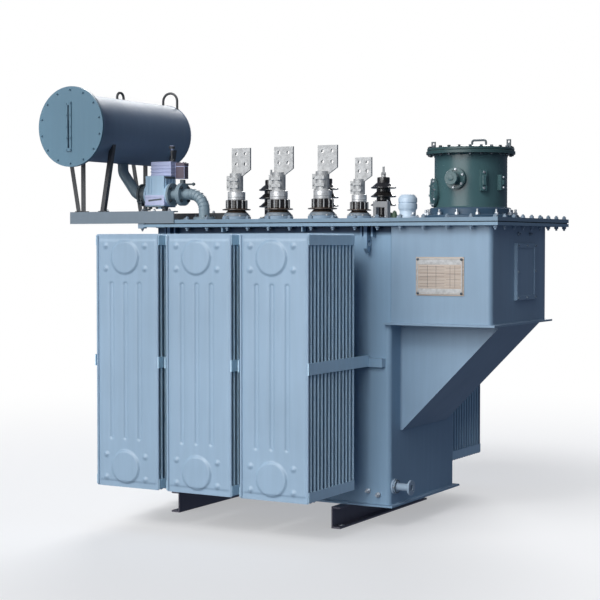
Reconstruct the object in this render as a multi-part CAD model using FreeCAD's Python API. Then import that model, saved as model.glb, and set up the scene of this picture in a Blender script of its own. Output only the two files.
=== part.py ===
import FreeCAD, Part
import math
import os

# Oil-immersed power transformer with an on-load tap changer.
# Millimetres. +X runs along the tank towards the tap changer compartment,
# -Y is the low-voltage side, +Z is up, and z = 0 is the underside of the skids.

V = FreeCAD.Vector
X, Y, Z = V(1, 0, 0), V(0, 1, 0), V(0, 0, 1)

# ---- skids ----
skid_length = 1310
skid_height = 140
skid_flange = 63
skid_web = 8
skid_flange_thickness = 12
skid_back_to_back = 1164
base_bolt_hole_r = 11
base_bolt_from_back = 33
base_bolt_from_end = 75

# ---- tank ----
tank_length = 1790
tank_width = 1000
tank_height = 1793
tank_offset_x = 25
tank_corner_r = 30
base_plate_thickness = 12
base_plate_overhang = 30
rim_thickness = 20
rim_overhang = 62
rim_overhang_left = 65
rim_overhang_rear = 197
rim_gusset_drop = 34
rim_gusset_thickness = 10
rim_gusset_reach = 50
rim_bracket_drop = 110
rim_bracket_pitch = 500
rim_gusset_x = 306
gasket_thickness = 6
gasket_inset = 8
gasket_width = 44
cover_thickness = 24
rib_height = 56
rib_depth = 30
rib_below_middle = 39
rib_end_margin = 2
rib_end_chamfer = 12
rib_past_strap = 12

# ---- tap changer compartment ----
tap_box_length = 687
tap_box_depth = 940
tap_box_drop = 632
tap_box_corner_r = 30
tap_base_thickness = 12
tap_base_overhang = 32
tap_base_wrap = 36
wedge_width = 696
wedge_height = 684
wedge_end_inset = 5
wedge_toe = 12
hatch_width = 330
hatch_height = 360
hatch_thickness = 16
hatch_offset_y = 62
hatch_top_gap = 110
name_width = 308
name_height = 224
name_thickness = 3
name_frame_thickness = 5
name_frame_margin = 8
name_centre_from_tank = 342
name_centre_below_rim = 315

# ---- radiators ----
radiator_gap = 58
panel_width = 480
panel_top_gap = 51
panel_bottom_gap = 112
panel_thickness = 8
panel_corner_r = 16
panel_pitch = 45
panel_count = 14
header_r = 44.5
header_reach = 69
stub_length = 70
header_end_inset = 134
band_height = 62
band_thickness = 3
strap_height = 72
strap_thickness = 6
radiator_flange_r = 85
radiator_flange_thickness = 16
valve_body_r = 72
valve_body_length = 50
valve_stem_r = 11
valve_stem_length = 34

# ---- small tank fittings ----
hook_thickness = 24
hook_depth = 66
hook_height = 176
hook_hole_r = 20
hook_cheek_thickness = 12
hook_cheek_gap = 20
hook_cheek_height = 66
hook_from_end = 145
hook_pipe_clearance = 10
earth_boss_r = 16
earth_boss_length = 14
earth_stud_r = 6
earth_stud_length = 30
earth_places = ((151, 83), (79, 63))
drain_from_front = 60
drain_height = 114
drain_pipe_r = 24
drain_bore_r = 19
drain_flange_r = 48
drain_flange_thickness = 12
drain_length = 125
drain_pad_share = 0.8
drain_bolt_pcd = 72
drain_bolt_r = 5.5

# ---- tap changer head ----
head_r = 232
head_height = 410
head_base_r = 311
head_base_thickness = 20
head_step_r = 262
head_step_thickness = 48
head_flange_r = 286
head_flange_thickness = 20
head_lid_r = 280
head_lid_edge = 20
head_lid_rise = 18
handle_span = 96
handle_rise = 34
handle_bar_r = 7
handle_from_axis = 58
eye_width = 28
eye_height = 52
eye_thickness = 10
eye_inset = 18
eye_hole_r = 8
eye_hole_margin = 15
port_angle = 1
port_r = 68
port_neck_r = 48
port_reach = 14
port_z = 250
port_flange_thickness = 16
port_boss_r = 37
port_boss_length = 70
side_port_angle = -54
side_port_r = 93
side_port_neck_r = 84
side_port_reach = 2
side_port_z = 166
lug_places = ((42, 237, 132), (75, 225, 97))
lug_width = 40
lug_reach = 30

# ---- conservator ----
drum_r = 230
drum_length = 1148
drum_before_beam = 202
drum_past_rim = 455
drum_above_cover = 412
drum_end_ring = 46
drum_flange_thickness = 14
drum_cover_thickness = 16
gauge_height = 340
gauge_width = 46
gauge_depth = 16
gauge_slot_width = 14
gauge_slot_depth = 10
gauge_offset_x = -12
small_loop_span = 78
small_loop_from_front = 564
small_loop_rise = 50
large_loop_span = 126
large_loop_from_rear = 20
large_loop_rise = 90
large_loop_offset_x = 47
loop_bar_r = 9
loop_bend_share = 0.48
loop_foot_depth = 60

# ---- conservator support ----
beam_height = 60
beam_flange = 45
beam_thickness = 8
beam_past_drum = 171
beam_on_cover = 255
rear_beam_from_drum_end = 194
leg_width = 32
leg_thickness = 6
leg_top_inset = 27
leg_foot_spread = 118
leg_top_below_centre = 117
post_offset_x = -65
post_width = 36
clamp_width = 46
clamp_depth = 40
clamp_below_rim = 8

# ---- gas relay line ----
pipe_r = 38
pipe_from_drum_front = 594
pipe_above_cover = 185
pipe_slant_drop = 165
pipe_slant_run = 127
pipe_bend_r = 76
valve_from_drum_axis = 170
line_flange_r = 80
line_flange_thickness = 16
line_valve_length = 32
line_valve_r = 66
line_valve_wheel_r = 30
line_valve_wheel_thickness = 10
line_valve_stem_length = 60
line_valve_stem_drop = 44
relay_length = 157
relay_depth = 148
relay_below_pipe = 82
relay_height = 214
relay_head_height = 104
relay_head_overhang = 6
relay_head_set_back = 84
relay_box_length = 78
relay_box_depth = 52
relay_box_height = 112
relay_box_behind_pipe = 58
relay_box_below_top = 10
relay_cock_height = 112
relay_cock_r = 9
relay_cock_from_end = 14
relay_cock_behind_pipe = 40
relay_knob_r = 20
relay_knob_height = 22
relay_foot_size = 24
relay_foot_drop = 20
relay_foot_from_middle = 20
relay_foot_from_front = 14
elbow_from_rim = 242
elbow_r = 110
elbow_base_r = 76
elbow_base_thickness = 22
joint_before_elbow = 197

# ---- low-voltage bushings ----
lv_row_y = -250
lv_first_x = -377
lv_spacing = 336
lv_neutral_gap = 274
lv_base_r = 98
lv_base_thickness = 24
lv_bell_r = 84
lv_neck_r = 58
lv_bell_height = 42
lv_shed_r = 98
lv_shed_thickness = 10
lv_ring_r = 72
lv_ring_height = 62
lv_collar_r = 60
lv_collar_height = 54
lv_clamp_r = 46
lv_clamp_height = 126
lv_palm_width = 146
lv_palm_height = 148
lv_palm_thickness = 16
lv_palm_offset_x = 40
lv_palm_above_clamp = 24
lv_palm_hole_r = 11
lv_palm_hole_spacing = 70
lv_palm_neck_height = 50
lv_palm_neck_half_width = 37
lv_ear_reach = 24
lv_ear_bottom_gap = 10
lv_ear_top_gap = 16
lv_neutral_scale = 0.82

# ---- high-voltage bushings ----
hv_row_y = 200
hv_first_x = -367
hv_spacing = 445
hv_base_r = 92
hv_base_thickness = 18
hv_core_r = 47
hv_shed_r = 87
hv_shed_count = 3
hv_shed_pitch = 59
hv_first_shed = 100
hv_shed_thickness = 14
hv_neck_above_shed = 10
hv_cap_r = 43
hv_cap_height = 48
hv_nut_r = 16
hv_nut_height = 34
hv_pin_r = 8
hv_pin_length = 40

# ---- other cover fittings ----
relief_from_head = 414
relief_y = -100
relief_r = 62
relief_neck_r = 53
relief_cap_r = 43
relief_height = 160
relief_neck_height = 58
relief_bell_height = 68
relief_shoulder_height = 138
relief_base_r = 74
relief_base_thickness = 16
guard_from_relief = 270
guard_y = 60
guard_width = 108
guard_height = 122
guard_depth = 46
guard_thickness = 22
guard_top_thickness = 40
pocket_from_relief = 145
pocket_y = 0
pocket_r = 26
pocket_tip_r = 12
pocket_height = 52

# ---- worked out from the sizes above ----
tank_bottom = skid_height + base_plate_thickness
tank_top = tank_bottom + tank_height
tank_left = tank_offset_x - tank_length / 2
tank_right = tank_offset_x + tank_length / 2
tank_front = -tank_width / 2
tank_rear = tank_width / 2
rim_bottom = tank_top - rim_thickness
cover_bottom = tank_top + gasket_thickness
cover_top = cover_bottom + cover_thickness
box_right = tank_right + tap_box_length
box_rear = tank_front + tap_box_depth
box_bottom = tank_top - tap_box_drop
wedge_top = box_bottom - tap_base_thickness
rim_left = tank_left - rim_overhang_left
rim_right = box_right + rim_overhang
rim_front = tank_front - rim_overhang
rim_rear = tank_rear + rim_overhang_rear
wedge_reach = tap_box_length - wedge_end_inset
head_x = (tank_right + box_right) / 2
head_y = (tank_front + box_rear) / 2
head_bottom = cover_top + head_base_thickness + head_step_thickness
head_top = cover_top + head_height
lid_edge_top = head_top + head_flange_thickness + head_lid_edge
lid_top = lid_edge_top + head_lid_rise
radiator_pitch = panel_width + radiator_gap
panel_bottom_z = tank_bottom + panel_bottom_gap
panel_top_z = rim_bottom - panel_top_gap
panel_middle_z = (panel_bottom_z + panel_top_z) / 2
valve_end_y = tank_width / 2 + stub_length + radiator_flange_thickness + valve_body_length
radiator_inner_y = valve_end_y + radiator_flange_thickness + header_reach
panel_front_y = radiator_inner_y + (panel_count - 1) * panel_pitch + panel_thickness
header_zs = (panel_bottom_z + header_end_inset, panel_top_z - header_end_inset)
strap_outer_x = radiator_pitch + panel_width / 2 + strap_thickness
rib_bottom_z = panel_middle_z - rib_below_middle
hook_half_width = hook_thickness / 2 + hook_cheek_gap + hook_cheek_thickness
hook_least_x = radiator_pitch + header_r + hook_half_width + hook_pipe_clearance
hook_xs = (min(tank_left + hook_from_end, -hook_least_x), max(tank_right - hook_from_end, hook_least_x))
drain_y = tank_front + drain_from_front
drain_z = tank_bottom + drain_height
front_beam_y = rim_front
drum_front_y = front_beam_y - drum_before_beam
drum_rear_y = drum_front_y + drum_length
drum_centre_x = rim_left - drum_past_rim
drum_centre_z = cover_top + drum_above_cover + drum_r
drum_end_r = drum_r + drum_end_ring
rear_beam_y = drum_rear_y - rear_beam_from_drum_end
beam_left_x = drum_centre_x - beam_past_drum
beam_length = rim_left + beam_on_cover - beam_left_x
leg_top_spread = drum_r - leg_top_inset
leg_top_z = drum_centre_z - leg_top_below_centre
pipe_y = drum_front_y + pipe_from_drum_front
pipe_z = cover_top + pipe_above_cover
valve_start_x = drum_centre_x + valve_from_drum_axis
relay_start_x = valve_start_x + 2 * line_flange_thickness + line_valve_length
relay_end_x = relay_start_x + 2 * line_flange_thickness + relay_length
relay_bottom_z = pipe_z - relay_below_pipe
elbow_x = rim_left + elbow_from_rim
lv_xs = [lv_first_x + i * lv_spacing for i in range(3)]
lv_xs.append(lv_xs[2] + lv_neutral_gap)
hv_xs = [hv_first_x + i * hv_spacing for i in range(3)]
palm_front_y = lv_row_y - lv_palm_thickness / 2
relief_x = head_x - relief_from_head
guard_x = relief_x - guard_from_relief
pocket_x = relief_x - pocket_from_relief


def block(x0, x1, y0, y1, z0, z1):
    return Part.makeBox(x1 - x0, y1 - y0, z1 - z0, V(x0, y0, z0))


def rod(x, y, z, radius, length, axis=Z):
    return Part.makeCylinder(radius, length, V(x, y, z), axis)


def extrude(points, direction):
    corners = [V(*p) for p in points]
    return Part.Face(Part.makePolygon(corners + corners[:1])).extrude(direction)


def fuse(shapes):
    joined = shapes[0]
    for shape in shapes[1:]:
        joined = joined.fuse(shape)
    return joined.removeSplitter()


def turned(profile, x, y, z):
    """Solid of revolution about a vertical axis through (x, y), from (radius, height) points."""
    points = [V(r, 0, h) for r, h in profile]
    face = Part.Face(Part.makePolygon(points + points[:1]))
    return face.revolve(V(0, 0, 0), Z, 360).translated(V(x, y, z))


def round_upright_edges(shape, radius, at_points):
    """Fillet the vertical edges that stand at the given (x, y) points."""
    edges = []
    for edge in shape.Edges:
        low, high = edge.BoundBox.ZMin, edge.BoundBox.ZMax
        centre = edge.CenterOfMass
        upright = high - low > 1 and edge.BoundBox.DiagonalLength - (high - low) < 0.1
        if upright and any(math.hypot(centre.x - x, centre.y - y) < 0.5 for x, y in at_points):
            edges.append(edge)
    return shape.makeFillet(radius, edges)


def tube_along(points, radius, bend):
    """Round bar through points in one plane, with each inner corner rounded to a bend radius."""
    path = []
    last = V(*points[0])
    for before, corner, after in zip(points, points[1:], points[2:]):
        a, b, c = V(*before), V(*corner), V(*after)
        inward = (a - b).normalize()
        outward = (c - b).normalize()
        half = inward.getAngle(outward) / 2
        reach = bend / math.tan(half)
        start = b + inward * reach
        end = b + outward * reach
        bisector = (inward + outward).normalize()
        middle = b + bisector * (bend / math.sin(half) - bend)
        path.append(Part.LineSegment(last, start).toShape())
        path.append(Part.Arc(start, middle, end).toShape())
        last = end
    path.append(Part.LineSegment(last, V(*points[-1])).toShape())
    wire = Part.Wire(path)
    first = V(*points[0])
    tangent = (V(*points[1]) - first).normalize()
    section = Part.Wire([Part.Circle(first, tangent, radius).toShape()])
    return wire.makePipeShell([section], True, False)


def tank():
    body = block(tank_left, tank_right, tank_front, tank_rear, tank_bottom, wedge_top)
    corners = [(x, y) for x in (tank_left, tank_right) for y in (tank_front, tank_rear)]
    body = round_upright_edges(body, tank_corner_r, corners)
    upper = block(tank_left, tank_right, tank_front, tank_rear, wedge_top, tank_top)
    upper = round_upright_edges(upper, tank_corner_r, corners[:2])
    return body.fuse(upper)


def tap_box():
    body = block(tank_right, box_right, tank_front, box_rear, box_bottom, tank_top)
    return round_upright_edges(body, tap_box_corner_r, [(box_right, tank_front), (box_right, box_rear)])


def tap_box_base():
    reach = tap_base_overhang
    plate = block(tank_right - tap_base_wrap, box_right + reach, tank_front - reach, box_rear + reach,
                  wedge_top, box_bottom)
    return plate.cut(block(tank_left, tank_right, tank_front, tank_rear, wedge_top, box_bottom))


def tap_box_wedge():
    y0 = -wedge_width / 2
    toe_z = wedge_top - wedge_height
    outline = [(tank_right, y0, wedge_top), (tank_right + wedge_reach, y0, wedge_top),
               (tank_right + wedge_toe, y0, toe_z), (tank_right, y0, toe_z)]
    return extrude(outline, V(0, wedge_width, 0))


def tap_box_hatch():
    y0 = head_y + hatch_offset_y - hatch_width / 2
    z1 = rim_bottom - hatch_top_gap
    return block(box_right, box_right + hatch_thickness, y0, y0 + hatch_width, z1 - hatch_height, z1)


def nameplate():
    x = tank_right + name_centre_from_tank
    z = rim_bottom - name_centre_below_rim
    half_w, half_h = name_width / 2, name_height / 2
    margin = name_frame_margin
    frame = block(x - half_w - margin, x + half_w + margin, tank_front - name_frame_thickness, tank_front,
                  z - half_h - margin, z + half_h + margin)
    plate = block(x - half_w, x + half_w, tank_front - name_frame_thickness - name_thickness,
                  tank_front - name_frame_thickness, z - half_h, z + half_h)
    return frame.fuse(plate)


def tank_rim():
    plate = block(rim_left, rim_right, rim_front, rim_rear, rim_bottom, tank_top)
    return plate.cut(tank()).cut(tap_box())


def rim_gasket():
    inset = gasket_inset
    z0, z1 = tank_top, cover_bottom
    outer = block(rim_left + inset, rim_right - inset, rim_front + inset, rim_rear - inset, z0, z1)
    inset += gasket_width
    inner = block(rim_left + inset, rim_right - inset, rim_front + inset, rim_rear - inset, z0, z1)
    return outer.cut(inner)


def rim_gussets():
    """Small plates under the front rim, and deeper brackets under the wide rear ledge."""
    half = rim_gusset_thickness / 2
    plates = []
    for side in (-1, 1):
        x = side * rim_gusset_x
        plates.append(block(x - half, x + half, tank_front - rim_gusset_reach, tank_front,
                            rim_bottom - rim_gusset_drop, rim_bottom))
    for step in range(-1, 2):
        x = tank_offset_x + step * rim_bracket_pitch
        reach = rim_overhang_rear - rim_gusset_reach
        outline = [(x - half, tank_rear, rim_bottom), (x - half, tank_rear + reach, rim_bottom),
                   (x - half, tank_rear + reach, rim_bottom - rim_gusset_thickness),
                   (x - half, tank_rear, rim_bottom - rim_bracket_drop)]
        plates.append(extrude(outline, V(rim_gusset_thickness, 0, 0)))
    return Part.makeCompound(plates)


def tank_ribs():
    """Stiffeners half way up the long walls, which the radiator straps meet, and the left end."""
    ribs = []
    z = rib_bottom_z
    margin = tank_corner_r + rib_end_margin
    past_strap = strap_outer_x + rib_past_strap + rib_depth
    x0 = min(tank_left + margin, -past_strap)
    x1 = max(tank_right - margin, past_strap)
    for side in (-1, 1):
        wall = side * tank_width / 2
        out = wall + side * rib_depth
        outline = [(x0, wall, z), (x1, wall, z), (x1 - rib_end_chamfer, out, z),
                   (x0 + rib_end_chamfer, out, z)]
        ribs.append(extrude(outline, V(0, 0, rib_height)))
    y0, y1 = tank_front + margin, tank_rear - margin
    out = tank_left - rib_depth
    outline = [(tank_left, y0, z), (tank_left, y1, z), (out, y1 - rib_end_chamfer, z),
               (out, y0 + rib_end_chamfer, z)]
    ribs.append(extrude(outline, V(0, 0, rib_height)))
    return Part.makeCompound(ribs)


def skid(side):
    """Channel with its flanges pointing outwards and two holes in the bottom flange."""
    back = side * skid_back_to_back / 2
    tip = back + side * skid_flange
    web_out = back + side * skid_web
    t = skid_flange_thickness
    y0 = -skid_length / 2
    h = skid_height
    outline = [(back, y0, 0), (tip, y0, 0), (tip, y0, t), (web_out, y0, t), (web_out, y0, h - t),
               (tip, y0, h - t), (tip, y0, h), (back, y0, h)]
    channel = extrude(outline, V(0, skid_length, 0))
    for end in (-1, 1):
        hole_x = back + side * base_bolt_from_back
        hole_y = end * (skid_length / 2 - base_bolt_from_end)
        channel = channel.cut(rod(hole_x, hole_y, -1, base_bolt_hole_r, t + 2))
    return channel


def radiator(centre_x, side):
    """Stack of flat panels on two header pipes that end in flanges towards the tank."""
    half = panel_width / 2
    x0, x1 = centre_x - half, centre_x + half
    solids = []
    for i in range(panel_count):
        outer = panel_front_y - i * panel_pitch
        y0 = min(side * outer, side * (outer - panel_thickness))
        panel = block(x0, x1, y0, y0 + panel_thickness, panel_bottom_z, panel_top_z)
        edges = [e for e in panel.Edges if abs(e.BoundBox.YLength - panel_thickness) < 0.01
                 and e.BoundBox.DiagonalLength < panel_thickness + 0.1]
        solids.append(panel.makeFillet(panel_corner_r, edges))
    front, inner = side * panel_front_y, side * radiator_inner_y
    flange_face = side * valve_end_y
    for z in header_zs:
        length = abs(flange_face - front) - panel_thickness
        start = min(front - side * panel_thickness, flange_face)
        solids.append(rod(centre_x, start, z, header_r, length, Y))
        near = min(flange_face, flange_face + side * radiator_flange_thickness)
        solids.append(rod(centre_x, near, z, radiator_flange_r, radiator_flange_thickness, Y))
    for x in (x0 - band_thickness, x1):
        for z in (panel_bottom_z + panel_corner_r, panel_top_z - panel_corner_r - band_height):
            solids.append(block(x, x + band_thickness, min(front, inner), max(front, inner),
                                z, z + band_height))
    return fuse(solids)


def radiator_valves():
    """Stub pipe, flange, butterfly valve and its stem at each of the twelve header ends."""
    groups = []
    for side in (-1, 1):
        for i in (-1, 0, 1):
            for z in header_zs:
                x = i * radiator_pitch
                wall = tank_width / 2
                parts = []
                at = wall
                for r, length in ((header_r, stub_length),
                                  (radiator_flange_r, radiator_flange_thickness),
                                  (valve_body_r, valve_body_length)):
                    start = min(side * at, side * (at + length))
                    parts.append(rod(x, start, z, r, length, Y))
                    at += length
                stem_y = side * (at - valve_body_length / 2)
                parts.append(rod(x, stem_y, z, valve_stem_r, valve_body_r + valve_stem_length, Z))
                groups.append(fuse(parts))
    return Part.makeCompound(groups)


def radiator_straps():
    """Flat bars along both sides of each radiator, from its outer panel back to the tank stiffener."""
    bars = []
    z = panel_middle_z - strap_height / 2
    back = tank_width / 2 + rib_depth
    for side in (-1, 1):
        for i in (-1, 0, 1):
            for edge in (-1, 1):
                x = i * radiator_pitch + edge * panel_width / 2
                x0 = min(x, x + edge * strap_thickness)
                y0, y1 = sorted((side * panel_front_y, side * back))
                bars.append(block(x0, x0 + strap_thickness, y0, y1, z, z + strap_height))
    return Part.makeCompound(bars)


def lifting_hook(x, side):
    """Plate with an eye, standing out from the wall under the rim between two cheeks."""
    wall = side * tank_width / 2
    out = wall + side * hook_depth
    top = rim_bottom
    half = hook_thickness / 2
    low = top - hook_height
    outline = [(x - half, wall, low + hook_depth), (x - half, wall, top), (x - half, out, top),
               (x - half, out, low + hook_depth / 2), (x - half, out - side * hook_depth / 2, low)]
    plate = extrude(outline, V(hook_thickness, 0, 0))
    eye_y = wall + side * hook_depth / 2
    eye = rod(x - half - 1, eye_y, low + hook_depth, hook_hole_r, hook_thickness + 2, X)
    solids = [plate.cut(eye)]
    for edge in (-1, 1):
        near = x + edge * (half + hook_cheek_gap)
        x0 = min(near, near + edge * hook_cheek_thickness)
        y0, y1 = sorted((wall, wall + side * rim_gusset_reach))
        solids.append(block(x0, x0 + hook_cheek_thickness, y0, y1, top - hook_cheek_height, top))
    return solids


def lifting_hooks():
    solids = []
    for x in hook_xs:
        for side in (-1, 1):
            solids += lifting_hook(x, side)
    return Part.makeCompound(solids)


def earth_studs():
    studs = []
    for from_corner, height in earth_places:
        x, z = tank_right - from_corner, tank_bottom + height
        boss = rod(x, tank_front - earth_boss_length, z, earth_boss_r, earth_boss_length, Y)
        pin = rod(x, tank_front - earth_boss_length - earth_stud_length, z, earth_stud_r,
                  earth_stud_length, Y)
        studs.append(boss.fuse(pin))
    return Part.makeCompound(studs)


def drain_valve():
    x = tank_right
    end = x + drain_length
    t = drain_flange_thickness
    parts = [rod(x, drain_y, drain_z, drain_pipe_r, drain_length, X),
             rod(x, drain_y, drain_z, drain_flange_r, t, X),
             rod(x + t, drain_y, drain_z, drain_flange_r * drain_pad_share, t, X),
             rod(end - t, drain_y, drain_z, drain_flange_r, t, X)]
    body = fuse(parts).cut(rod(x + t, drain_y, drain_z, drain_bore_r, drain_length, X))
    for i in range(4):
        angle = math.radians(45 + 90 * i)
        y = drain_y + drain_bolt_pcd / 2 * math.cos(angle)
        z = drain_z + drain_bolt_pcd / 2 * math.sin(angle)
        body = body.cut(rod(end - t - 1, y, z, drain_bolt_r, t + 2, X))
    return body


def tap_head_base():
    top = head_base_thickness + head_step_thickness
    return turned([(0, 0), (head_base_r, 0), (head_base_r, head_base_thickness),
                   (head_step_r, head_base_thickness), (head_step_r, top), (0, top)],
                  head_x, head_y, cover_top)


def tap_head_body():
    return rod(head_x, head_y, head_bottom, head_r, head_top - head_bottom)


def tap_head_lid():
    """Top flange with a bolted lid that is slightly domed."""
    t = head_flange_thickness
    lid = t + head_lid_edge
    return turned([(0, 0), (head_flange_r, 0), (head_flange_r, t), (head_lid_r, t), (head_lid_r, lid),
                   (head_lid_r * 0.8, lid + head_lid_rise * 0.55),
                   (head_lid_r * 0.45, lid + head_lid_rise), (0, lid + head_lid_rise)],
                  head_x, head_y, head_top)


def tap_head_handle():
    """Bent bar handle on the lid and two eye plates near its edge."""
    x0 = head_x + handle_from_axis - handle_span / 2
    x1 = x0 + handle_span
    z0, z1 = lid_top, lid_top + handle_rise
    handle = tube_along([(x0, head_y, z0), (x0, head_y, z1), (x1, head_y, z1), (x1, head_y, z0)],
                        handle_bar_r, handle_bar_r * 2)
    solids = [handle]
    seat = lid_edge_top
    lid = tap_head_lid()
    half_t = eye_thickness / 2
    half_w = eye_width / 2
    for edge in (-1, 1):
        x = head_x + edge * (head_lid_r - eye_inset)
        plate = block(x - half_w, x + half_w, head_y - half_t, head_y + half_t,
                      seat, seat + eye_height)
        hole = rod(x, head_y - half_t - 1, seat + eye_height - eye_hole_margin, eye_hole_r,
                   eye_thickness + 2, Y)
        solids.append(plate.cut(hole).cut(lid))
    return Part.makeCompound(solids)


def outward(angle):
    """Level direction at an angle measured from the front towards +X."""
    turn = math.radians(angle)
    return V(math.sin(turn), -math.cos(turn), 0)


def tap_head_port(angle, height, flange_r, neck_r, reach):
    """Blank flange on a short neck."""
    out = outward(angle)
    axis_point = V(head_x, head_y, cover_top + height)
    neck = Part.makeCylinder(neck_r, head_r + reach, axis_point, out)
    face = axis_point + out * (head_r + reach)
    flange = Part.makeCylinder(flange_r, port_flange_thickness, face, out)
    return neck.fuse(flange).cut(tap_head_body())


def tap_head_lug(angle, height, tall):
    """Upright block on the side of the head."""
    half = lug_width / 2
    lug = block(-half, half, -head_r - lug_reach, -head_r / 2, -tall / 2, tall / 2)
    lug.rotate(V(0, 0, 0), Z, angle)
    return lug.translated(V(head_x, head_y, cover_top + height)).cut(tap_head_body())


def tap_head_ports():
    """Front port with a round boss, a wide flange at the left, and two upright lugs."""
    front = tap_head_port(port_angle, port_z, port_r, port_neck_r, port_reach)
    out = outward(port_angle)
    face = V(head_x, head_y, cover_top + port_z) + out * (head_r + port_reach + port_flange_thickness)
    front = front.fuse(Part.makeCylinder(port_boss_r, port_boss_length, face, out))
    side = tap_head_port(side_port_angle, side_port_z, side_port_r, side_port_neck_r, side_port_reach)
    return Part.makeCompound([front, side] + [tap_head_lug(*place) for place in lug_places])


def drum_shape():
    return rod(drum_centre_x, drum_front_y, drum_centre_z, drum_r, drum_length, Y)


def conservator_drum():
    ring = rod(drum_centre_x, drum_front_y, drum_centre_z, drum_end_r, drum_flange_thickness, Y)
    return drum_shape().fuse(ring)


def conservator_cover():
    y = drum_front_y - drum_cover_thickness
    cover = rod(drum_centre_x, y, drum_centre_z, drum_end_r, drum_cover_thickness, Y)
    x = drum_centre_x + gauge_offset_x
    half = gauge_width / 2
    return cover.cut(block(x - half, x + half, y, y + gauge_depth / 2,
                           drum_centre_z - gauge_height / 2, drum_centre_z + gauge_height / 2))


def oil_gauge():
    """Long sight gauge with rounded ends and a sunk slot, let into the end cover."""
    x = drum_centre_x + gauge_offset_x
    seat = drum_front_y - drum_cover_thickness + gauge_depth / 2
    half_h = gauge_height / 2
    body = block(x - gauge_width / 2, x + gauge_width / 2, seat - gauge_depth, seat,
                 drum_centre_z - half_h, drum_centre_z + half_h)
    inset = gauge_width / 2
    slot = block(x - gauge_slot_width / 2, x + gauge_slot_width / 2, seat - gauge_depth,
                 seat - gauge_depth + gauge_slot_depth,
                 drum_centre_z - half_h + inset, drum_centre_z + half_h - inset)
    return body.cut(slot)


def drum_loop(x, y, along, span, rise):
    """Bent bar that stands on top of the drum, for a lifting hook."""
    crown = drum_centre_z + drum_r
    low = V(x, y, crown - loop_foot_depth)
    high = V(x, y, crown + rise)
    step = along * (span / 2)
    bar = tube_along([low - step, high - step, high + step, low + step],
                     loop_bar_r, span * loop_bend_share)
    return bar.cut(drum_shape())


def conservator_loops():
    """A small loop along the drum, and a large one across it near the rear end."""
    small = drum_loop(drum_centre_x, drum_front_y + small_loop_from_front, Y,
                      small_loop_span, small_loop_rise)
    large = drum_loop(drum_centre_x + large_loop_offset_x, drum_rear_y - large_loop_from_rear, X,
                      large_loop_span, large_loop_rise)
    return Part.makeCompound([small, large])


def beam_section(y, web_bottom):
    """Channel along X with its web at the front; the web may run down past the lower flange."""
    t = beam_thickness
    back = y + beam_flange
    z0, z1 = cover_top, cover_top + beam_height
    x0 = beam_left_x
    outline = [(x0, y - t, web_bottom), (x0, y, web_bottom), (x0, y, z0), (x0, back, z0),
               (x0, back, z0 + t), (x0, y, z0 + t), (x0, y, z1 - t), (x0, back, z1 - t),
               (x0, back, z1), (x0, y - t, z1)]
    if web_bottom >= z0:
        del outline[1]
    return extrude(outline, V(beam_length, 0, 0))


def beam_clamps():
    """Blocks bolted under the beams, gripping the edge of the cover and the rim."""
    blocks = []
    x1 = rim_left
    x0 = x1 - clamp_width
    for y in (front_beam_y, rear_beam_y):
        blocks.append(block(x0, x1, y, y + clamp_depth, rim_bottom - clamp_below_rim, cover_top))
    return Part.makeCompound(blocks)


def support_frame(y):
    """Two splayed angle legs and one upright post between a beam and the drum."""
    foot_z = cover_top + beam_height
    drum = drum_shape()
    solids = []
    for edge in (-1, 1):
        foot = drum_centre_x + edge * leg_foot_spread
        top = drum_centre_x + edge * leg_top_spread
        for width, depth in ((leg_width, leg_thickness), (leg_thickness, leg_width)):
            inner = -edge * width
            outline = [(foot, y, foot_z), (foot + inner, y, foot_z), (top + inner, y, leg_top_z),
                       (top, y, leg_top_z)]
            solids.append(extrude(outline, V(0, depth, 0)))
    legs = [solids[0].fuse(solids[1]).removeSplitter().cut(drum),
            solids[2].fuse(solids[3]).removeSplitter().cut(drum)]
    x = drum_centre_x + post_offset_x
    half = post_width / 2
    face, back = y + leg_thickness, y + leg_width
    post = block(x - half, x + half, face, face + leg_thickness, foot_z, drum_centre_z)
    post = post.fuse(block(x - half, x - half + leg_thickness, face, back, foot_z, drum_centre_z))
    legs.append(post.removeSplitter().cut(drum))
    return Part.makeCompound(legs)


def oil_pipe_upper():
    """Pipe from the underside of the drum, down a slant, to the shut-off valve."""
    pipe = tube_along([(drum_centre_x, pipe_y, drum_centre_z - drum_r / 2),
                       (drum_centre_x, pipe_y, pipe_z + pipe_slant_drop),
                       (drum_centre_x + pipe_slant_run, pipe_y, pipe_z),
                       (valve_start_x, pipe_y, pipe_z)], pipe_r, pipe_bend_r)
    return pipe.cut(drum_shape())


def line_discs(start, sizes):
    """Discs in a row along the relay line, from (radius, length) pairs."""
    parts = []
    x = start
    for r, length in sizes:
        parts.append(rod(x, pipe_y, pipe_z, r, length, X))
        x += length
    return parts, x


def shutoff_valve():
    flange = (line_flange_r, line_flange_thickness)
    parts, end = line_discs(valve_start_x, [flange, (line_valve_r, line_valve_length), flange])
    middle = (valve_start_x + end) / 2
    wheel_z = pipe_z - line_valve_r - line_valve_stem_drop
    parts.append(rod(middle, pipe_y, wheel_z, valve_stem_r, line_valve_stem_length))
    parts.append(rod(middle, pipe_y, wheel_z, line_valve_wheel_r, line_valve_wheel_thickness))
    return fuse(parts)


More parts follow.
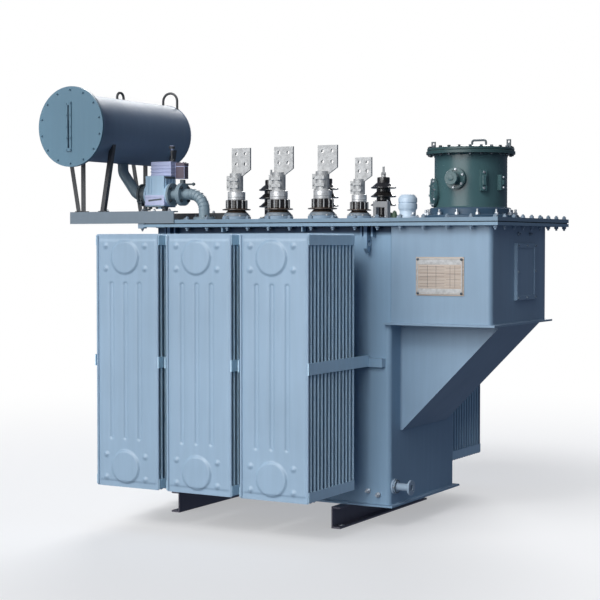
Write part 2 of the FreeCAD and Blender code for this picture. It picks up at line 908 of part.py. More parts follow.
def gas_relay():
    """Cast relay body between its two flanges."""
    t = line_flange_thickness
    x0 = relay_start_x + t
    x1 = x0 + relay_length
    half = relay_depth / 2
    z0 = relay_bottom_z
    body = block(x0, x1, pipe_y - half, pipe_y + half, z0, z0 + relay_height)
    foot_x = (x0 + x1) / 2 + relay_foot_from_middle
    foot_y = pipe_y - half + relay_foot_from_front
    foot = block(foot_x, foot_x + relay_foot_size, foot_y, foot_y + relay_foot_size,
                 z0 - relay_foot_drop, z0)
    flanges = [rod(x, pipe_y, pipe_z, line_flange_r, t, X) for x in (relay_start_x, x1)]
    return fuse([body, foot] + flanges)


def gas_relay_head():
    """Lid of the relay with its terminal box and test cock."""
    x0 = relay_start_x + line_flange_thickness - relay_head_overhang
    x1 = x0 + relay_length + 2 * relay_head_overhang
    half = relay_depth / 2 + relay_head_overhang
    z0 = relay_bottom_z + relay_height
    z1 = z0 + relay_head_height
    head = block(x0, x1, pipe_y - half + relay_head_set_back, pipe_y + half, z0, z1)
    box_y = pipe_y + relay_box_behind_pipe
    box_z = z1 - relay_box_below_top
    box = block(x1, x1 + relay_box_length, box_y, box_y + relay_box_depth,
                box_z - relay_box_height, box_z)
    cock_x = x1 - relay_cock_from_end
    cock_y = pipe_y + relay_cock_behind_pipe
    cock = rod(cock_x, cock_y, z1, relay_cock_r, relay_cock_height)
    knob_z = z1 + relay_cock_height - relay_knob_height
    knob = rod(cock_x, cock_y, knob_z, relay_knob_r, relay_knob_height)
    return fuse([head, box, cock, knob])


def oil_pipe_lower():
    """Flange, joint, elbow and base flange between the relay and the tank cover."""
    pipe = tube_along([(relay_end_x, pipe_y, pipe_z), (elbow_x, pipe_y, pipe_z),
                       (elbow_x, pipe_y, cover_top)], pipe_r, elbow_r)
    flange = rod(relay_end_x, pipe_y, pipe_z, line_flange_r, line_flange_thickness, X)
    joint = rod(elbow_x - joint_before_elbow, pipe_y, pipe_z, line_flange_r,
                2 * line_flange_thickness, X)
    base = rod(elbow_x, pipe_y, cover_top, elbow_base_r, elbow_base_thickness)
    return fuse([pipe, flange, joint, base])


def lv_size(index):
    """The neutral bushing, last in the row, is smaller than the three phase bushings."""
    return lv_neutral_scale if index == 3 else 1.0


def lv_stack_heights():
    """Heights above the cover where each stage of a bushing starts."""
    base = lv_base_thickness
    bell = base + lv_bell_height
    shed = bell + lv_shed_thickness
    ring = shed + lv_ring_height
    return base, bell, shed, ring


def lv_bushing(index):
    k = lv_size(index)
    base, bell, shed, ring = lv_stack_heights()
    profile = [(0, 0), (lv_base_r, 0), (lv_base_r, base), (lv_bell_r, base), (lv_neck_r, bell),
               (lv_shed_r, bell), (lv_shed_r, shed), (lv_ring_r, shed), (lv_ring_r, ring), (0, ring)]
    return turned([(r * k, h * k) for r, h in profile], lv_xs[index], lv_row_y, cover_top)


def lv_terminal(index):
    """Collar, split clamp and four-hole palm on top of a bushing."""
    k = lv_size(index)
    x, y = lv_xs[index], lv_row_y
    z = cover_top + lv_stack_heights()[3] * k
    clamp_z = z + lv_collar_height * k
    palm_z = clamp_z + (lv_clamp_height + lv_palm_above_clamp) * k
    collar = rod(x, y, z, lv_collar_r * k, lv_collar_height * k)
    clamp = rod(x, y, clamp_z, lv_clamp_r * k, lv_clamp_height * k)
    half_t = lv_palm_thickness / 2
    ear = block(x - (lv_clamp_r + lv_ear_reach) * k, x, y - half_t * 2, y + half_t * 2,
                clamp_z + lv_ear_bottom_gap * k, clamp_z + (lv_clamp_height - lv_ear_top_gap) * k)
    cx = x + lv_palm_offset_x * k
    half_w = lv_palm_width * k / 2
    front = palm_front_y
    palm = block(cx - half_w, cx + half_w, front, front + lv_palm_thickness, palm_z,
                 palm_z + lv_palm_height * k)
    neck_half_w = lv_palm_neck_half_width * k
    neck_z = palm_z - lv_palm_neck_height * k
    neck = extrude([(x - neck_half_w, front, neck_z), (x + neck_half_w, front, neck_z),
                    (cx + half_w, front, palm_z), (cx - half_w, front, palm_z)],
                   V(0, lv_palm_thickness, 0))
    body = fuse([collar, clamp, ear, palm, neck])
    half_s = lv_palm_hole_spacing * k / 2
    mid_z = palm_z + lv_palm_height * k / 2
    for sx in (-1, 1):
        for sz in (-1, 1):
            hole = rod(cx + sx * half_s, front - 1, mid_z + sz * half_s, lv_palm_hole_r,
                       lv_palm_thickness + 2, Y)
            body = body.cut(hole)
    return body


def hv_bushing(x):
    """Ribbed insulator with a metal cap, a nut and a threaded stud."""
    last_shed = hv_first_shed + (hv_shed_count - 1) * hv_shed_pitch
    top = last_shed + hv_shed_thickness + hv_neck_above_shed
    profile = [(0, 0), (hv_base_r, 0), (hv_base_r, hv_base_thickness), (hv_core_r, hv_base_thickness)]
    for i in range(hv_shed_count):
        z = hv_first_shed + i * hv_shed_pitch
        profile += [(hv_core_r, z), (hv_shed_r, z), (hv_core_r, z + hv_shed_thickness)]
    cap = top + hv_cap_height
    nut = cap + hv_nut_height
    profile += [(hv_core_r, top), (hv_cap_r, top), (hv_cap_r, cap), (hv_nut_r, cap), (hv_nut_r, nut),
                (hv_pin_r, nut), (hv_pin_r, nut + hv_pin_length), (0, nut + hv_pin_length)]
    return turned(profile, x, hv_row_y, cover_top)


def relief_valve():
    return turned([(0, 0), (relief_base_r, 0), (relief_base_r, relief_base_thickness),
                   (relief_neck_r, relief_base_thickness), (relief_neck_r, relief_neck_height),
                   (relief_r, relief_bell_height), (relief_r, relief_shoulder_height),
                   (relief_cap_r, relief_height), (0, relief_height)],
                  relief_x, relief_y, cover_top)


def guard_bracket():
    """Flat bar bent into an upside-down U, with both feet on the cover."""
    half = guard_width / 2
    half_d = guard_depth / 2
    z0, z1 = cover_top, cover_top + guard_height
    outer = block(guard_x - half, guard_x + half, guard_y - half_d, guard_y + half_d, z0, z1)
    inner_half = half - guard_thickness
    gap = block(guard_x - inner_half, guard_x + inner_half, guard_y - half_d, guard_y + half_d,
                z0, z1 - guard_top_thickness)
    return outer.cut(gap)


def thermometer_pocket():
    return turned([(0, 0), (pocket_r, 0), (pocket_tip_r, pocket_height), (0, pocket_height)],
                  pocket_x, pocket_y, cover_top)


def build():
    nodes = {
        "tank_body": tank(),
        "tank_base_plate": block(tank_left - base_plate_overhang, tank_right + base_plate_overhang,
                                 tank_front - base_plate_overhang, tank_rear + base_plate_overhang,
                                 skid_height, tank_bottom),
        "tank_rim": tank_rim(),
        "rim_gasket": rim_gasket(),
        "cover_plate": block(rim_left, rim_right, rim_front, rim_rear, cover_bottom, cover_top),
        "rim_gussets": rim_gussets(),
        "tank_ribs": tank_ribs(),
        "tap_box": tap_box(),
        "tap_box_base": tap_box_base(),
        "tap_box_wedge": tap_box_wedge(),
        "tap_box_hatch": tap_box_hatch(),
        "nameplate": nameplate(),
        "skid_left": skid(-1),
        "skid_right": skid(1),
        "radiator_valves": radiator_valves(),
        "radiator_straps": radiator_straps(),
        "lifting_hooks": lifting_hooks(),
        "earth_studs": earth_studs(),
        "drain_valve": drain_valve(),
        "tap_head_base": tap_head_base(),
        "tap_head_body": tap_head_body(),
        "tap_head_lid": tap_head_lid(),
        "tap_head_handle": tap_head_handle(),
        "tap_head_ports": tap_head_ports(),
        "conservator_drum": conservator_drum(),
        "conservator_cover": conservator_cover(),
        "oil_gauge": oil_gauge(),
        "conservator_loops": conservator_loops(),
        "conservator_beam_front": beam_section(front_beam_y, cover_bottom),
        "conservator_beam_rear": beam_section(rear_beam_y, cover_top),
        "beam_clamps": beam_clamps(),
        "conservator_frame_front": support_frame(front_beam_y),
        "conservator_frame_rear": support_frame(rear_beam_y),
        "oil_pipe_upper": oil_pipe_upper(),
        "shutoff_valve": shutoff_valve(),
        "gas_relay": gas_relay(),
        "gas_relay_head": gas_relay_head(),
        "oil_pipe_lower": oil_pipe_lower(),
        "lv_bushings": Part.makeCompound([lv_bushing(i) for i in range(4)]),
        "lv_terminals": Part.makeCompound([lv_terminal(i) for i in range(4)]),
        "hv_bushings": Part.makeCompound([hv_bushing(x) for x in hv_xs]),
        "relief_valve": relief_valve(),
        "guard_bracket": guard_bracket(),
        "thermometer_pocket": thermometer_pocket(),
    }
    for side, label in ((-1, "front"), (1, "rear")):
        for i in range(3):
            nodes[f"radiator_{label}_{i + 1}"] = radiator((i - 1) * radiator_pitch, side)
    return nodes


os.makedirs("parts", exist_ok=True)
for name, shape in build().items():
    shape.exportStep(f"parts/{name}.step")
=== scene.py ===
import random
from math import cos, hypot, pi, radians, sin, sqrt, tau

import bmesh
import bpy
from mathutils import Matrix, Vector


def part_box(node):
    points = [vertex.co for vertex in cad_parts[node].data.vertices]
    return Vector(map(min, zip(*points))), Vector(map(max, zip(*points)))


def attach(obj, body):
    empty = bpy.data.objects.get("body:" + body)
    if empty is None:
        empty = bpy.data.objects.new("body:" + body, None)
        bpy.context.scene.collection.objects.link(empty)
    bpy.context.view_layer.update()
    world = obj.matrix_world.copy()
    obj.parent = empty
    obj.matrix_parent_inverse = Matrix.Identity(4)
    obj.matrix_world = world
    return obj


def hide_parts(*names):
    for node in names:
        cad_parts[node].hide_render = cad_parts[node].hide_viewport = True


# Power transformer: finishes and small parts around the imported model.
# Metres. +X runs along the tank to the tap changer, -Y is the low-voltage side, +Z is up.

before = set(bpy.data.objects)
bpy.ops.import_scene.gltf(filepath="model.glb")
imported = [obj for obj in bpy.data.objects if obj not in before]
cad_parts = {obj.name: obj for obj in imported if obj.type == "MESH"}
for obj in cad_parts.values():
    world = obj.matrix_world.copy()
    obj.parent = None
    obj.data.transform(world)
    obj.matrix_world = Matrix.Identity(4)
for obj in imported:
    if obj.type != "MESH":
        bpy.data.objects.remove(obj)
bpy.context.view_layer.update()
rng = random.Random(7)

X, Y, Z = Vector((1, 0, 0)), Vector((0, 1, 0)), Vector((0, 0, 1))
FRONT, REAR = -1, 1                     # low-voltage side, and the side behind
M16, M12, M8 = 0.008, 0.006, 0.004      # shank radii of bolts
WELD_R = 0.005


# ---------------------------------------------------------------- materials
class Nodes:
    """Short way to write a material's nodes. A source is a (node, output) pair."""

    def __init__(self, name):
        self.material = bpy.data.materials.new(name)
        self.material.use_nodes = True
        self.tree = self.material.node_tree
        self.tree.nodes.clear()
        self.out = self.add("ShaderNodeOutputMaterial")
        self.shader = self.add("ShaderNodeBsdfPrincipled")
        self.link((self.shader, "BSDF"), self.out, "Surface")
        self.place = self.add("ShaderNodeTexCoord"), "Object"

    def add(self, kind, **values):
        """New node; each value is an attribute's, or a socket's with _ for a space."""
        node = self.tree.nodes.new(kind)
        for key, value in values.items():
            if hasattr(node, key):
                setattr(node, key, value)
            else:
                node.inputs[key.replace("_", " ")].default_value = value
        return node

    def link(self, source, node, socket):
        self.tree.links.new(source[0].outputs[source[1]], node.inputs[socket])

    def fix(self, socket, value):
        """Constant value on the shader's own socket."""
        self.shader.inputs[socket].default_value = value

    def noise(self, scale, detail=3.0, stretch=(1, 1, 1), rough=0.5):
        mapping = self.add("ShaderNodeMapping", Scale=stretch)
        self.link(self.place, mapping, "Vector")
        node = self.add("ShaderNodeTexNoise", Scale=scale, Detail=detail, Roughness=rough)
        self.link((mapping, "Vector"), node, "Vector")
        return node, "Fac"

    def ramp(self, source, stops):
        node = self.add("ShaderNodeValToRGB")
        ramp = node.color_ramp
        while len(ramp.elements) < len(stops):
            ramp.elements.new(0.5)
        for element, (at, colour) in zip(ramp.elements, stops):
            element.position = at
            element.color = (*colour, 1)
        self.link(source, node, "Fac")
        return node, "Color"

    def remap(self, source, **ends):
        node = self.add("ShaderNodeMapRange", **ends)
        self.link(source, node, "Value")
        return node, "Result"

    def z_of(self, source):
        """Upright part of a vector."""
        node = self.add("ShaderNodeSeparateXYZ")
        self.link(source, node, "Vector")
        return node, "Z"

    def mix(self, a, b, factor, kind="MIX"):
        """Mix two colours; the colours and the factor are values or sources."""
        node = self.add("ShaderNodeMix", data_type="RGBA", blend_type=kind)
        for socket, given in ((0, factor), (6, a), (7, b)):
            if isinstance(given, tuple) and hasattr(given[0], "outputs"):
                self.link(given, node, socket)
            else:
                node.inputs[socket].default_value = (*given, 1) if socket else given
        return node, 2

    def roughness(self, source, low, high):
        """Let the roughness follow a source between two values."""
        self.link(self.remap(source, To_Min=low, To_Max=high), self.shader, "Roughness")

    def colour(self, source):
        self.link(source, self.shader, "Base Color")

    def bumps(self, *layers):
        """Stack (source, strength, distance) layers into the normal."""
        last = None
        for source, strength, distance in layers:
            bump = self.add("ShaderNodeBump", Strength=strength, Distance=distance)
            self.link(source, bump, "Height")
            if last:
                self.link(last, bump, "Normal")
            last = bump, "Normal"
        self.link(last, self.shader, "Normal")


WHITE = (1, 1, 1)
DUST = (0.42, 0.40, 0.36)
# painted shade: dark colour that stands for the deep shadow under the tank's rim
PAINTED_SHADE = (0.03, 0.07, 0.12)


def shade(colour, factor):
    return tuple(min(1.0, c * factor) for c in colour)


def paint(name, colour, rough=0.38, dust=0.12, painted_shade=None, specular=0.5):
    """Sprayed enamel: slow tone drift, faint rain streaks, dust on ledges, orange peel.

    Given a (from, to) pair of heights for the shade, the coat darkens upwards between them: painted shade that
    stands for the deep shadow under a ledge.
    """
    n = Nodes(name)
    n.fix("Specular IOR Level", specular)
    tone = n.ramp(n.noise(1.7), [(0.3, shade(colour, 0.93)), (0.7, shade(colour, 1.05))])
    runs = n.ramp(n.noise(26.0, 4.0, (1, 1, 0.06), 0.6), [(0.42, shade(WHITE, 0.96)), (0.62, WHITE)])
    streaked = n.mix(tone, runs, 1.0, "MULTIPLY")
    specks = n.ramp(n.noise(210.0, 2.0), [(0.30, shade(WHITE, 0.86)), (0.38, WHITE)])
    specked = n.mix(streaked, specks, 0.35, "MULTIPLY")
    geometry = n.add("ShaderNodeNewGeometry")
    up = n.remap(n.z_of((geometry, "Normal")), From_Min=0.55, From_Max=1.0, To_Max=dust * 2)
    amount = n.add("ShaderNodeMath", operation="MULTIPLY")
    n.link(up, amount, 0)
    n.link(n.noise(9.0, 5.0, rough=0.65), amount, 1)
    final = n.mix(specked, DUST, (amount, "Value"))
    # painted shade: the coat turns dark upwards between the two heights, in place of shadow
    if painted_shade:
        rise = n.remap(n.z_of((geometry, "Position")), From_Min=painted_shade[0], From_Max=painted_shade[1])
        final = n.mix(final, n.ramp(rise, [(0.0, WHITE), (1.0, PAINTED_SHADE)]), 1.0, "MULTIPLY")
    n.colour(final)
    n.roughness(n.noise(6.0, 4.0, rough=0.6), rough - 0.07, rough + 0.10)
    n.bumps((n.noise(14.0, 2.0), 0.10, 0.004), (n.noise(420.0, 2.0), 0.12, 0.0006))
    return n.material


def metal(name, colour, rough=0.35, brushed=False, solid=0.85):
    """Plated or tinned metal with faint handling marks."""
    n = Nodes(name)
    n.fix("Metallic", solid)
    stain = n.noise(38.0, 5.0, rough=0.65)
    n.colour(n.ramp(stain, [(0.32, shade(colour, 0.68)), (0.62, colour)]))
    grain = n.noise(160.0, 3.0, (1, 1, 0.12 if brushed else 1))
    n.roughness(grain, rough - 0.08, rough + 0.16)
    n.bumps((grain, 0.16, 0.0006))
    return n.material


def ceramic(name, colour, tint):
    """Glazed porcelain: pooled glaze, pinholes and a clear coat."""
    n = Nodes(name)
    pool = n.noise(11.0)
    tone = n.ramp(pool, [(0.3, colour), (0.7, tint)])
    hole = n.add("ShaderNodeTexVoronoi", Scale=330.0)
    n.link(n.place, hole, "Vector")
    holes = n.ramp((hole, "Distance"), [(0.03, shade(WHITE, 0.55)), (0.09, WHITE)])
    n.colour(n.mix(tone, holes, 0.5, "MULTIPLY"))
    n.fix("Coat Weight", 0.6)
    n.fix("Coat Roughness", 0.08)
    n.roughness(pool, 0.14, 0.30)
    n.bumps((n.noise(60.0, 2.0), 0.08, 0.001))
    return n.material


def rubber(name):
    """Cork and rubber sheet, seen at the edge of the joint."""
    n = Nodes(name)
    crumb = n.noise(300.0, 4.0, rough=0.7)
    n.colour(n.ramp(crumb, [(0.35, (0.010, 0.011, 0.012)), (0.65, (0.040, 0.036, 0.032))]))
    n.fix("Roughness", 0.85)
    n.bumps((crumb, 0.4, 0.001))
    return n.material


def oil_glass(name, level_z, blur):
    """Sight glass: dark oil below the level, a paler empty part above."""
    n = Nodes(name)
    height = n.remap(n.z_of(n.place), From_Min=level_z - blur, From_Max=level_z + blur)
    n.colour(n.ramp(height, [(0.4, (0.010, 0.022, 0.040)), (0.6, (0.030, 0.055, 0.075))]))
    n.fix("Roughness", 0.06)
    n.fix("Coat Weight", 0.5)
    n.bumps((n.noise(24.0, 3.0, (1, 1, 0.2)), 0.05, 0.001))
    return n.material


def etched(name):
    """Bronze-coloured plate with a brushed face."""
    n = Nodes(name)
    n.fix("Metallic", 0.35)
    grain = n.noise(90.0, 4.0, (0.05, 1, 1))
    n.colour(n.ramp(grain, [(0.3, (0.36, 0.30, 0.25)), (0.7, (0.50, 0.43, 0.37))]))
    n.roughness(grain, 0.34, 0.52)
    n.bumps((grain, 0.1, 0.0004))
    return n.material


mats = {
    "radiator": paint("paint_radiator", (0.305, 0.432, 0.560), 0.33),
    # painted light: a lighter copy of the radiator paint, for light on the sides of the fins and their straps
    "radiator_painted_light": paint("paint_radiator_painted_light", (0.570, 0.800, 0.950), 0.36),
    # the tank wall's top strip under the rim gets painted shade for the deep shadow there
    "tank": paint("paint_tank", (0.260, 0.400, 0.540), 0.42, painted_shade=(1.862, 1.890), specular=0.2),
    "cover": paint("paint_cover", (0.172, 0.270, 0.360), 0.42),
    "box": paint("paint_tap_box", (0.240, 0.358, 0.480), 0.40),
    "rim": paint("paint_rim", (0.210, 0.330, 0.440), 0.42),
    "fitting": paint("paint_fitting", (0.235, 0.330, 0.430), 0.42),
    "dark": paint("paint_dark_fitting", (0.085, 0.110, 0.125), 0.45),
    "drum": paint("paint_drum", (0.192, 0.262, 0.360), 0.50),
    "drum_cap": paint("paint_drum_cap", (0.111, 0.220, 0.300), 0.40),
    "head": paint("paint_tap_head", (0.055, 0.120, 0.130), 0.24),
    "head_lid": paint("paint_tap_head_lid", (0.038, 0.082, 0.086), 0.30),
    "head_base": paint("paint_tap_head_base", (0.038, 0.084, 0.138), 0.38),
    "beam": paint("paint_beam", (0.170, 0.220, 0.265), 0.42),
    "leg": paint("paint_leg", (0.060, 0.063, 0.067), 0.45),
    "skid": paint("paint_skid", (0.150, 0.140, 0.175), 0.48, dust=0.05),
    "relay": paint("paint_relay", (0.420, 0.600, 0.760), 0.30),
    "relay_head": paint("paint_relay_head", (0.560, 0.610, 0.840), 0.30),
    "relay_box": paint("paint_terminal_box", (0.150, 0.120, 0.150), 0.40),
    "turret": paint("paint_turret", (0.185, 0.225, 0.265), 0.42),
    "stub": paint("paint_drain_stub", (0.360, 0.470, 0.580), 0.26),
    "pipe": paint("paint_pipe", (0.220, 0.300, 0.350), 0.42),
    "relief": paint("paint_relief", (0.520, 0.640, 0.760), 0.30),
    "bracket": paint("paint_bracket", (0.440, 0.450, 0.460), 0.40),
    "cone": paint("paint_cone", (0.055, 0.100, 0.060), 0.45),
    "bolt": metal("zinc_bolt", (0.62, 0.66, 0.70), 0.34),
    "dark_bolt": metal("dark_bolt", (0.10, 0.12, 0.14), 0.42),
    "painted_bolt": paint("painted_bolt", (0.200, 0.270, 0.340), 0.42),
    "tin": metal("tinned_palm", (0.50, 0.51, 0.51), 0.40, brushed=True, solid=0.30),
    "bright": metal("polished_clamp", (0.78, 0.79, 0.79), 0.30, brushed=True, solid=0.45),
    "brown": ceramic("glaze_brown", (0.050, 0.034, 0.024), (0.085, 0.060, 0.045)),
    "black": ceramic("glaze_black", (0.014, 0.013, 0.013), (0.030, 0.027, 0.026)),
    "gasket": rubber("cork_rubber"),
    "plate": etched("etched_plate"),
}


# ---------------------------------------------------------------- mesh helpers
def at(x, y, z, axis=Z):
    """Placement with local +Z along an axis."""
    return Matrix.Translation((x, y, z)) @ axis.to_track_quat("Z", "Y").to_matrix().to_4x4()


def mm(text):
    """Profile from text: radius and height in millimetres, comma, and so on."""
    return [tuple(float(v) / 1000 for v in pair.split()) for pair in text.split(",")]


def lathe(bm, profile, place, segments=32, roll=0.0):
    """Solid of revolution about local Z, from (radius, height) points that run from axis to axis."""
    rings = []
    for r, h in profile:
        if r < 1e-6:
            rings.append([bm.verts.new(place @ Vector((0, 0, h)))])
            continue
        ring = []
        for i in range(segments):
            a = roll + tau * i / segments
            ring.append(bm.verts.new(place @ Vector((r * cos(a), r * sin(a), h))))
        rings.append(ring)
    for low, high in zip(rings, rings[1:]):
        for i in range(segments):
            j = (i + 1) % segments
            corners = [low[i % len(low)], low[j % len(low)], high[j % len(high)], high[i % len(high)]]
            unique = list(dict.fromkeys(corners))
            if len(unique) > 2:
                bm.faces.new(unique)


def disc(bm, place, r, thickness, bevel=0.0012, segments=32):
    """Short cylinder with a chamfered edge."""
    b = min(bevel, thickness / 3, r / 3)
    lathe(bm, [(0, 0), (r - b, 0), (r, b), (r, thickness - b), (r - b, thickness), (0, thickness)],
          place, segments)


def hex_nut(bm, place, shank, height, roll=0.0):
    """Hexagon with its corners turned off, on a washer."""
    across = shank * 1.73
    washer = shank * 0.35
    disc(bm, place, shank * 2.05, washer, 0.0006, 14)
    top = place @ Matrix.Translation((0, 0, washer))
    lathe(bm, [(0, 0), (across, 0), (across, height * 0.82), (across * 0.84, height), (0, height)],
          top, 6, roll)


def loose_nut(bm, place, shank, height):
    """Nut at a random turn."""
    hex_nut(bm, place, shank, height, rng.uniform(0, 1))


def bolt(bm, x, y, z, axis, shank, stick=1.0):
    """Nut on a washer at a random turn, with the shank's end standing out."""
    place = at(x, y, z, axis)
    hex_nut(bm, place, shank, shank * 1.6, rng.uniform(0, pi / 3))
    end = place @ Matrix.Translation((0, 0, shank * 1.9))
    disc(bm, end, shank * 0.95, shank * stick, 0.001, 10)


def slab(bm, x0, x1, y0, y1, z0, z1, bevel=0.002, turn=None):
    """Rectangular block with chamfered edges."""
    made = bmesh.ops.create_cube(bm, size=1.0)["verts"]
    place = Matrix.Translation(((x0 + x1) / 2, (y0 + y1) / 2, (z0 + z1) / 2))
    if turn:
        place = turn @ place
    size = Matrix.Diagonal((abs(x1 - x0), abs(y1 - y0), abs(z1 - z0), 1))
    bmesh.ops.transform(bm, matrix=place @ size, verts=made)
    if bevel:
        edges = list(dict.fromkeys(e for v in made for e in v.link_edges))
        limit = min(abs(x1 - x0), abs(y1 - y0), abs(z1 - z0)) * 0.3
        bmesh.ops.bevel(bm, geom=edges, offset=min(bevel, limit), segments=1, profile=0.5,
                        affect="EDGES")


def sweep(bm, points, radius, segments=8, closed=False):
    """Round bar along points; radius is a number or a function of the point's index."""
    count = len(points)
    rings = []
    normal = None
    for i, p in enumerate(points):
        after = points[(i + 1) % count] if closed or i < count - 1 else p
        before = points[i - 1] if closed or i > 0 else p
        along = (after - before).normalized()
        if normal is None:
            normal = along.orthogonal().normalized()
        normal = (normal - along * normal.dot(along)).normalized()
        side = along.cross(normal)
        r = radius(i) if callable(radius) else radius
        ring = []
        for k in range(segments):
            a = tau * k / segments
            ring.append(bm.verts.new(p + (normal * cos(a) + side * sin(a)) * r))
        rings.append(ring)
    pairs = list(zip(rings, rings[1:]))
    if closed:
        pairs.append((rings[-1], rings[0]))
    for low, high in pairs:
        for k in range(segments):
            j = (k + 1) % segments
            bm.faces.new((low[k], low[j], high[j], high[k]))
    if not closed:
        bm.faces.new(list(reversed(rings[0])))
        bm.faces.new(rings[-1])

def ripple(r):
    """A bead's radius from point to point."""
    return lambda i: r * (0.88 + 0.24 * (i % 2)) * rng.uniform(0.94, 1.06)


def weld(bm, x, y, z, r=WELD_R):
    """Rippled bead along an axis: one of x, y and z is a (from, to) pair."""
    pairs = [v if isinstance(v, tuple) else (v, v) for v in (x, y, z)]
    start, end = (Vector(corner) for corner in zip(*pairs))
    steps = max(2, int((end - start).length / 0.012))
    sweep(bm, [start.lerp(end, i / steps) for i in range(steps + 1)], ripple(r), 6)


def ring_weld(bm, place, radius, r=WELD_R):
    """Rippled bead round a circle in the placement's XY plane."""
    steps = max(16, int(tau * radius / 0.014))
    points = [place @ Vector((u, v, 0)) for u, v in circle(0, 0, radius, steps)]
    sweep(bm, points, ripple(r), 6, True)


def piece(name, bm, finish, replaces=(), angle=35):
    """Turn a bmesh into a piece that rides on the part."""
    bmesh.ops.recalc_face_normals(bm, faces=bm.faces)
    mesh = bpy.data.meshes.new(name)
    bm.to_mesh(mesh)
    bm.free()
    for polygon in mesh.polygons:
        polygon.use_smooth = True
    mesh.set_sharp_from_angle(angle=radians(angle))
    mesh.materials.append(mats[finish])
    thing = bpy.data.objects.new(name, mesh)
    bpy.context.scene.collection.objects.link(thing)
    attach(thing, "root")
    if replaces:
        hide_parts(*replaces)


def around(count, start=0.0):
    """Evenly spaced angles."""
    return [start + tau * i / count for i in range(count)]


def circle(u, v, r, count, start=0.0):
    """Evenly spaced places round a centre."""
    return [(u + r * cos(a), v + r * sin(a)) for a in around(count, start)]


def on_line(a, b, pitch):
    """Evenly spaced places between two ends, near a pitch."""
    count = max(1, round((b - a) / pitch))
    return [a + (b - a) * i / count for i in range(count + 1)]


def middle(lo, hi):
    return tuple((a + b) / 2 for a, b in zip(lo, hi))


def half_width(lo, hi):
    return (hi.x - lo.x) / 2


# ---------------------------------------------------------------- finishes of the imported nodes
FINISHES = {        # finish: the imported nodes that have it; the others have the radiators'
    "tank": "tank_body tank_base_plate tank_ribs radiator_valves lifting_hooks",
    "rim": "tank_rim rim_gussets", "gasket": "rim_gasket", "cover": "cover_plate",
    "box": "tap_box tap_box_base tap_box_wedge tap_box_hatch", "plate": "nameplate",
    # the radiators' straps take the lighter copy of the radiator paint: painted light on the fin sides
    "skid": "skid_left skid_right", "radiator_painted_light": "radiator_straps", "bolt": "earth_studs",
    "stub": "drain_valve", "head_base": "tap_head_base", "head": "tap_head_body tap_head_ports",
    "head_lid": "tap_head_lid", "dark": "tap_head_handle shutoff_valve", "drum": "conservator_drum",
    "drum_cap": "conservator_cover oil_gauge",
    "leg": "conservator_loops conservator_beam_rear conservator_frame_front conservator_frame_rear",
    "beam": "conservator_beam_front", "fitting": "beam_clamps", "pipe": "oil_pipe_upper oil_pipe_lower",
    "relay": "gas_relay", "relay_head": "gas_relay_head", "brown": "lv_bushings", "tin": "lv_terminals",
    "black": "hv_bushings", "relief": "relief_valve", "bracket": "guard_bracket",
    "cone": "thermometer_pocket",
}
finish_of = {name: finish for finish, names in FINISHES.items() for name in names.split()}
for name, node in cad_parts.items():
    node.data.materials.clear()
    node.data.materials.append(mats[finish_of.get(name, "radiator")])


# ---------------------------------------------------------------- radiators
PANEL_COUNT = 14
PANEL_PITCH = 0.045
PANEL_T = 0.008
SEAM = 0.018                # welded edge left and right of a panel
SEAM_TOP = 0.034            # welded edge at the top and bottom
SEAM_DROP = 0.0045
DISC_R = 0.104
DISC_RISE = 0.010
DISC_EDGE = 0.016
BUMP_R = 0.024              # four bumps round each disc
BUMP_RISE = 0.0095
BUMP_PLACE = (0.150, 0.072)
FLUTE_STEP = 0.107
FLUTE_HALF = 0.021
FLUTE_DROP = 0.0095
PRESS_SHIFT = 0.015         # pressings stand this far off the panel's centre line
PRESS_INSET = (0.130, 0.148)    # disc centres from the lower and the upper end
HEADER_INSET = 0.134        # header centre from the panel's end
HEADER_R = 0.0445
FLANGE_R = 0.085
FLANGE_T = 0.016
FLANGE_BOLTS_R = 0.068
VALVE_DEPTH = 0.070         # header valve, from the wall to its flange
BAND = 0.003
BAND_H = 0.062
PANEL_CORNER = 0.008
BEAD_R = 0.0085             # folded edge of a panel


def smooth(t):
    t = min(1.0, max(0.0, t))
    return t * t * (3 - 2 * t)


def pressing(x, z, width, height, shift):
    """How far the sheet stands out at a place, from the panel's centre line and its lower end."""
    edge = width / 2 - abs(x)
    x += PRESS_SHIFT * shift
    end = min(z, height - z)
    out = -SEAM_DROP * (1 - smooth((edge - SEAM) / 0.010) * smooth((end - SEAM_TOP) / 0.010))
    dz = z - PRESS_INSET[0] if z < height / 2 else z - height + PRESS_INSET[1]
    out += DISC_RISE * (1 - smooth((hypot(x, dz) - DISC_R + DISC_EDGE / 2) / DISC_EDGE))
    bump = hypot(abs(x) - BUMP_PLACE[0], abs(dz) - BUMP_PLACE[1])
    out += BUMP_RISE * (1 - smooth(bump / BUMP_R))
    low, high = height * 0.185, height * 0.815
    past = max(low + FLUTE_HALF - z, z - high + FLUTE_HALF, 0.0)
    for step in (-FLUTE_STEP, 0.0, FLUTE_STEP):
        out -= FLUTE_DROP * (1 - smooth(hypot(x - step, past) / FLUTE_HALF))
    return out


def panel_columns(half, fine):
    step = 0.006 if fine else 0.0135
    inner = half - SEAM - 0.012
    count = max(2, round(2 * inner / step))
    middle = [-inner + 2 * inner * i / count for i in range(count + 1)]
    rim = [half, half - 0.004, half - SEAM, half - SEAM - 0.006]
    return [-v for v in rim] + middle + rim[::-1]


def panel_rows(height, fine):
    if not fine:
        return [0, 0.006, SEAM_TOP, SEAM_TOP + 0.012, height * 0.18, height * 0.2, height * 0.5,
                height * 0.8, height * 0.82, height - SEAM_TOP - 0.012, height - SEAM_TOP,
                height - 0.006, height]
    ends = [0.0, 0.004, 0.012] + [0.020 + 0.006 * i for i in range(55)]
    middle = on_line(ends[-1], height - ends[-1], 0.11)[1:-1]
    return ends + middle + [height - v for v in reversed(ends)]


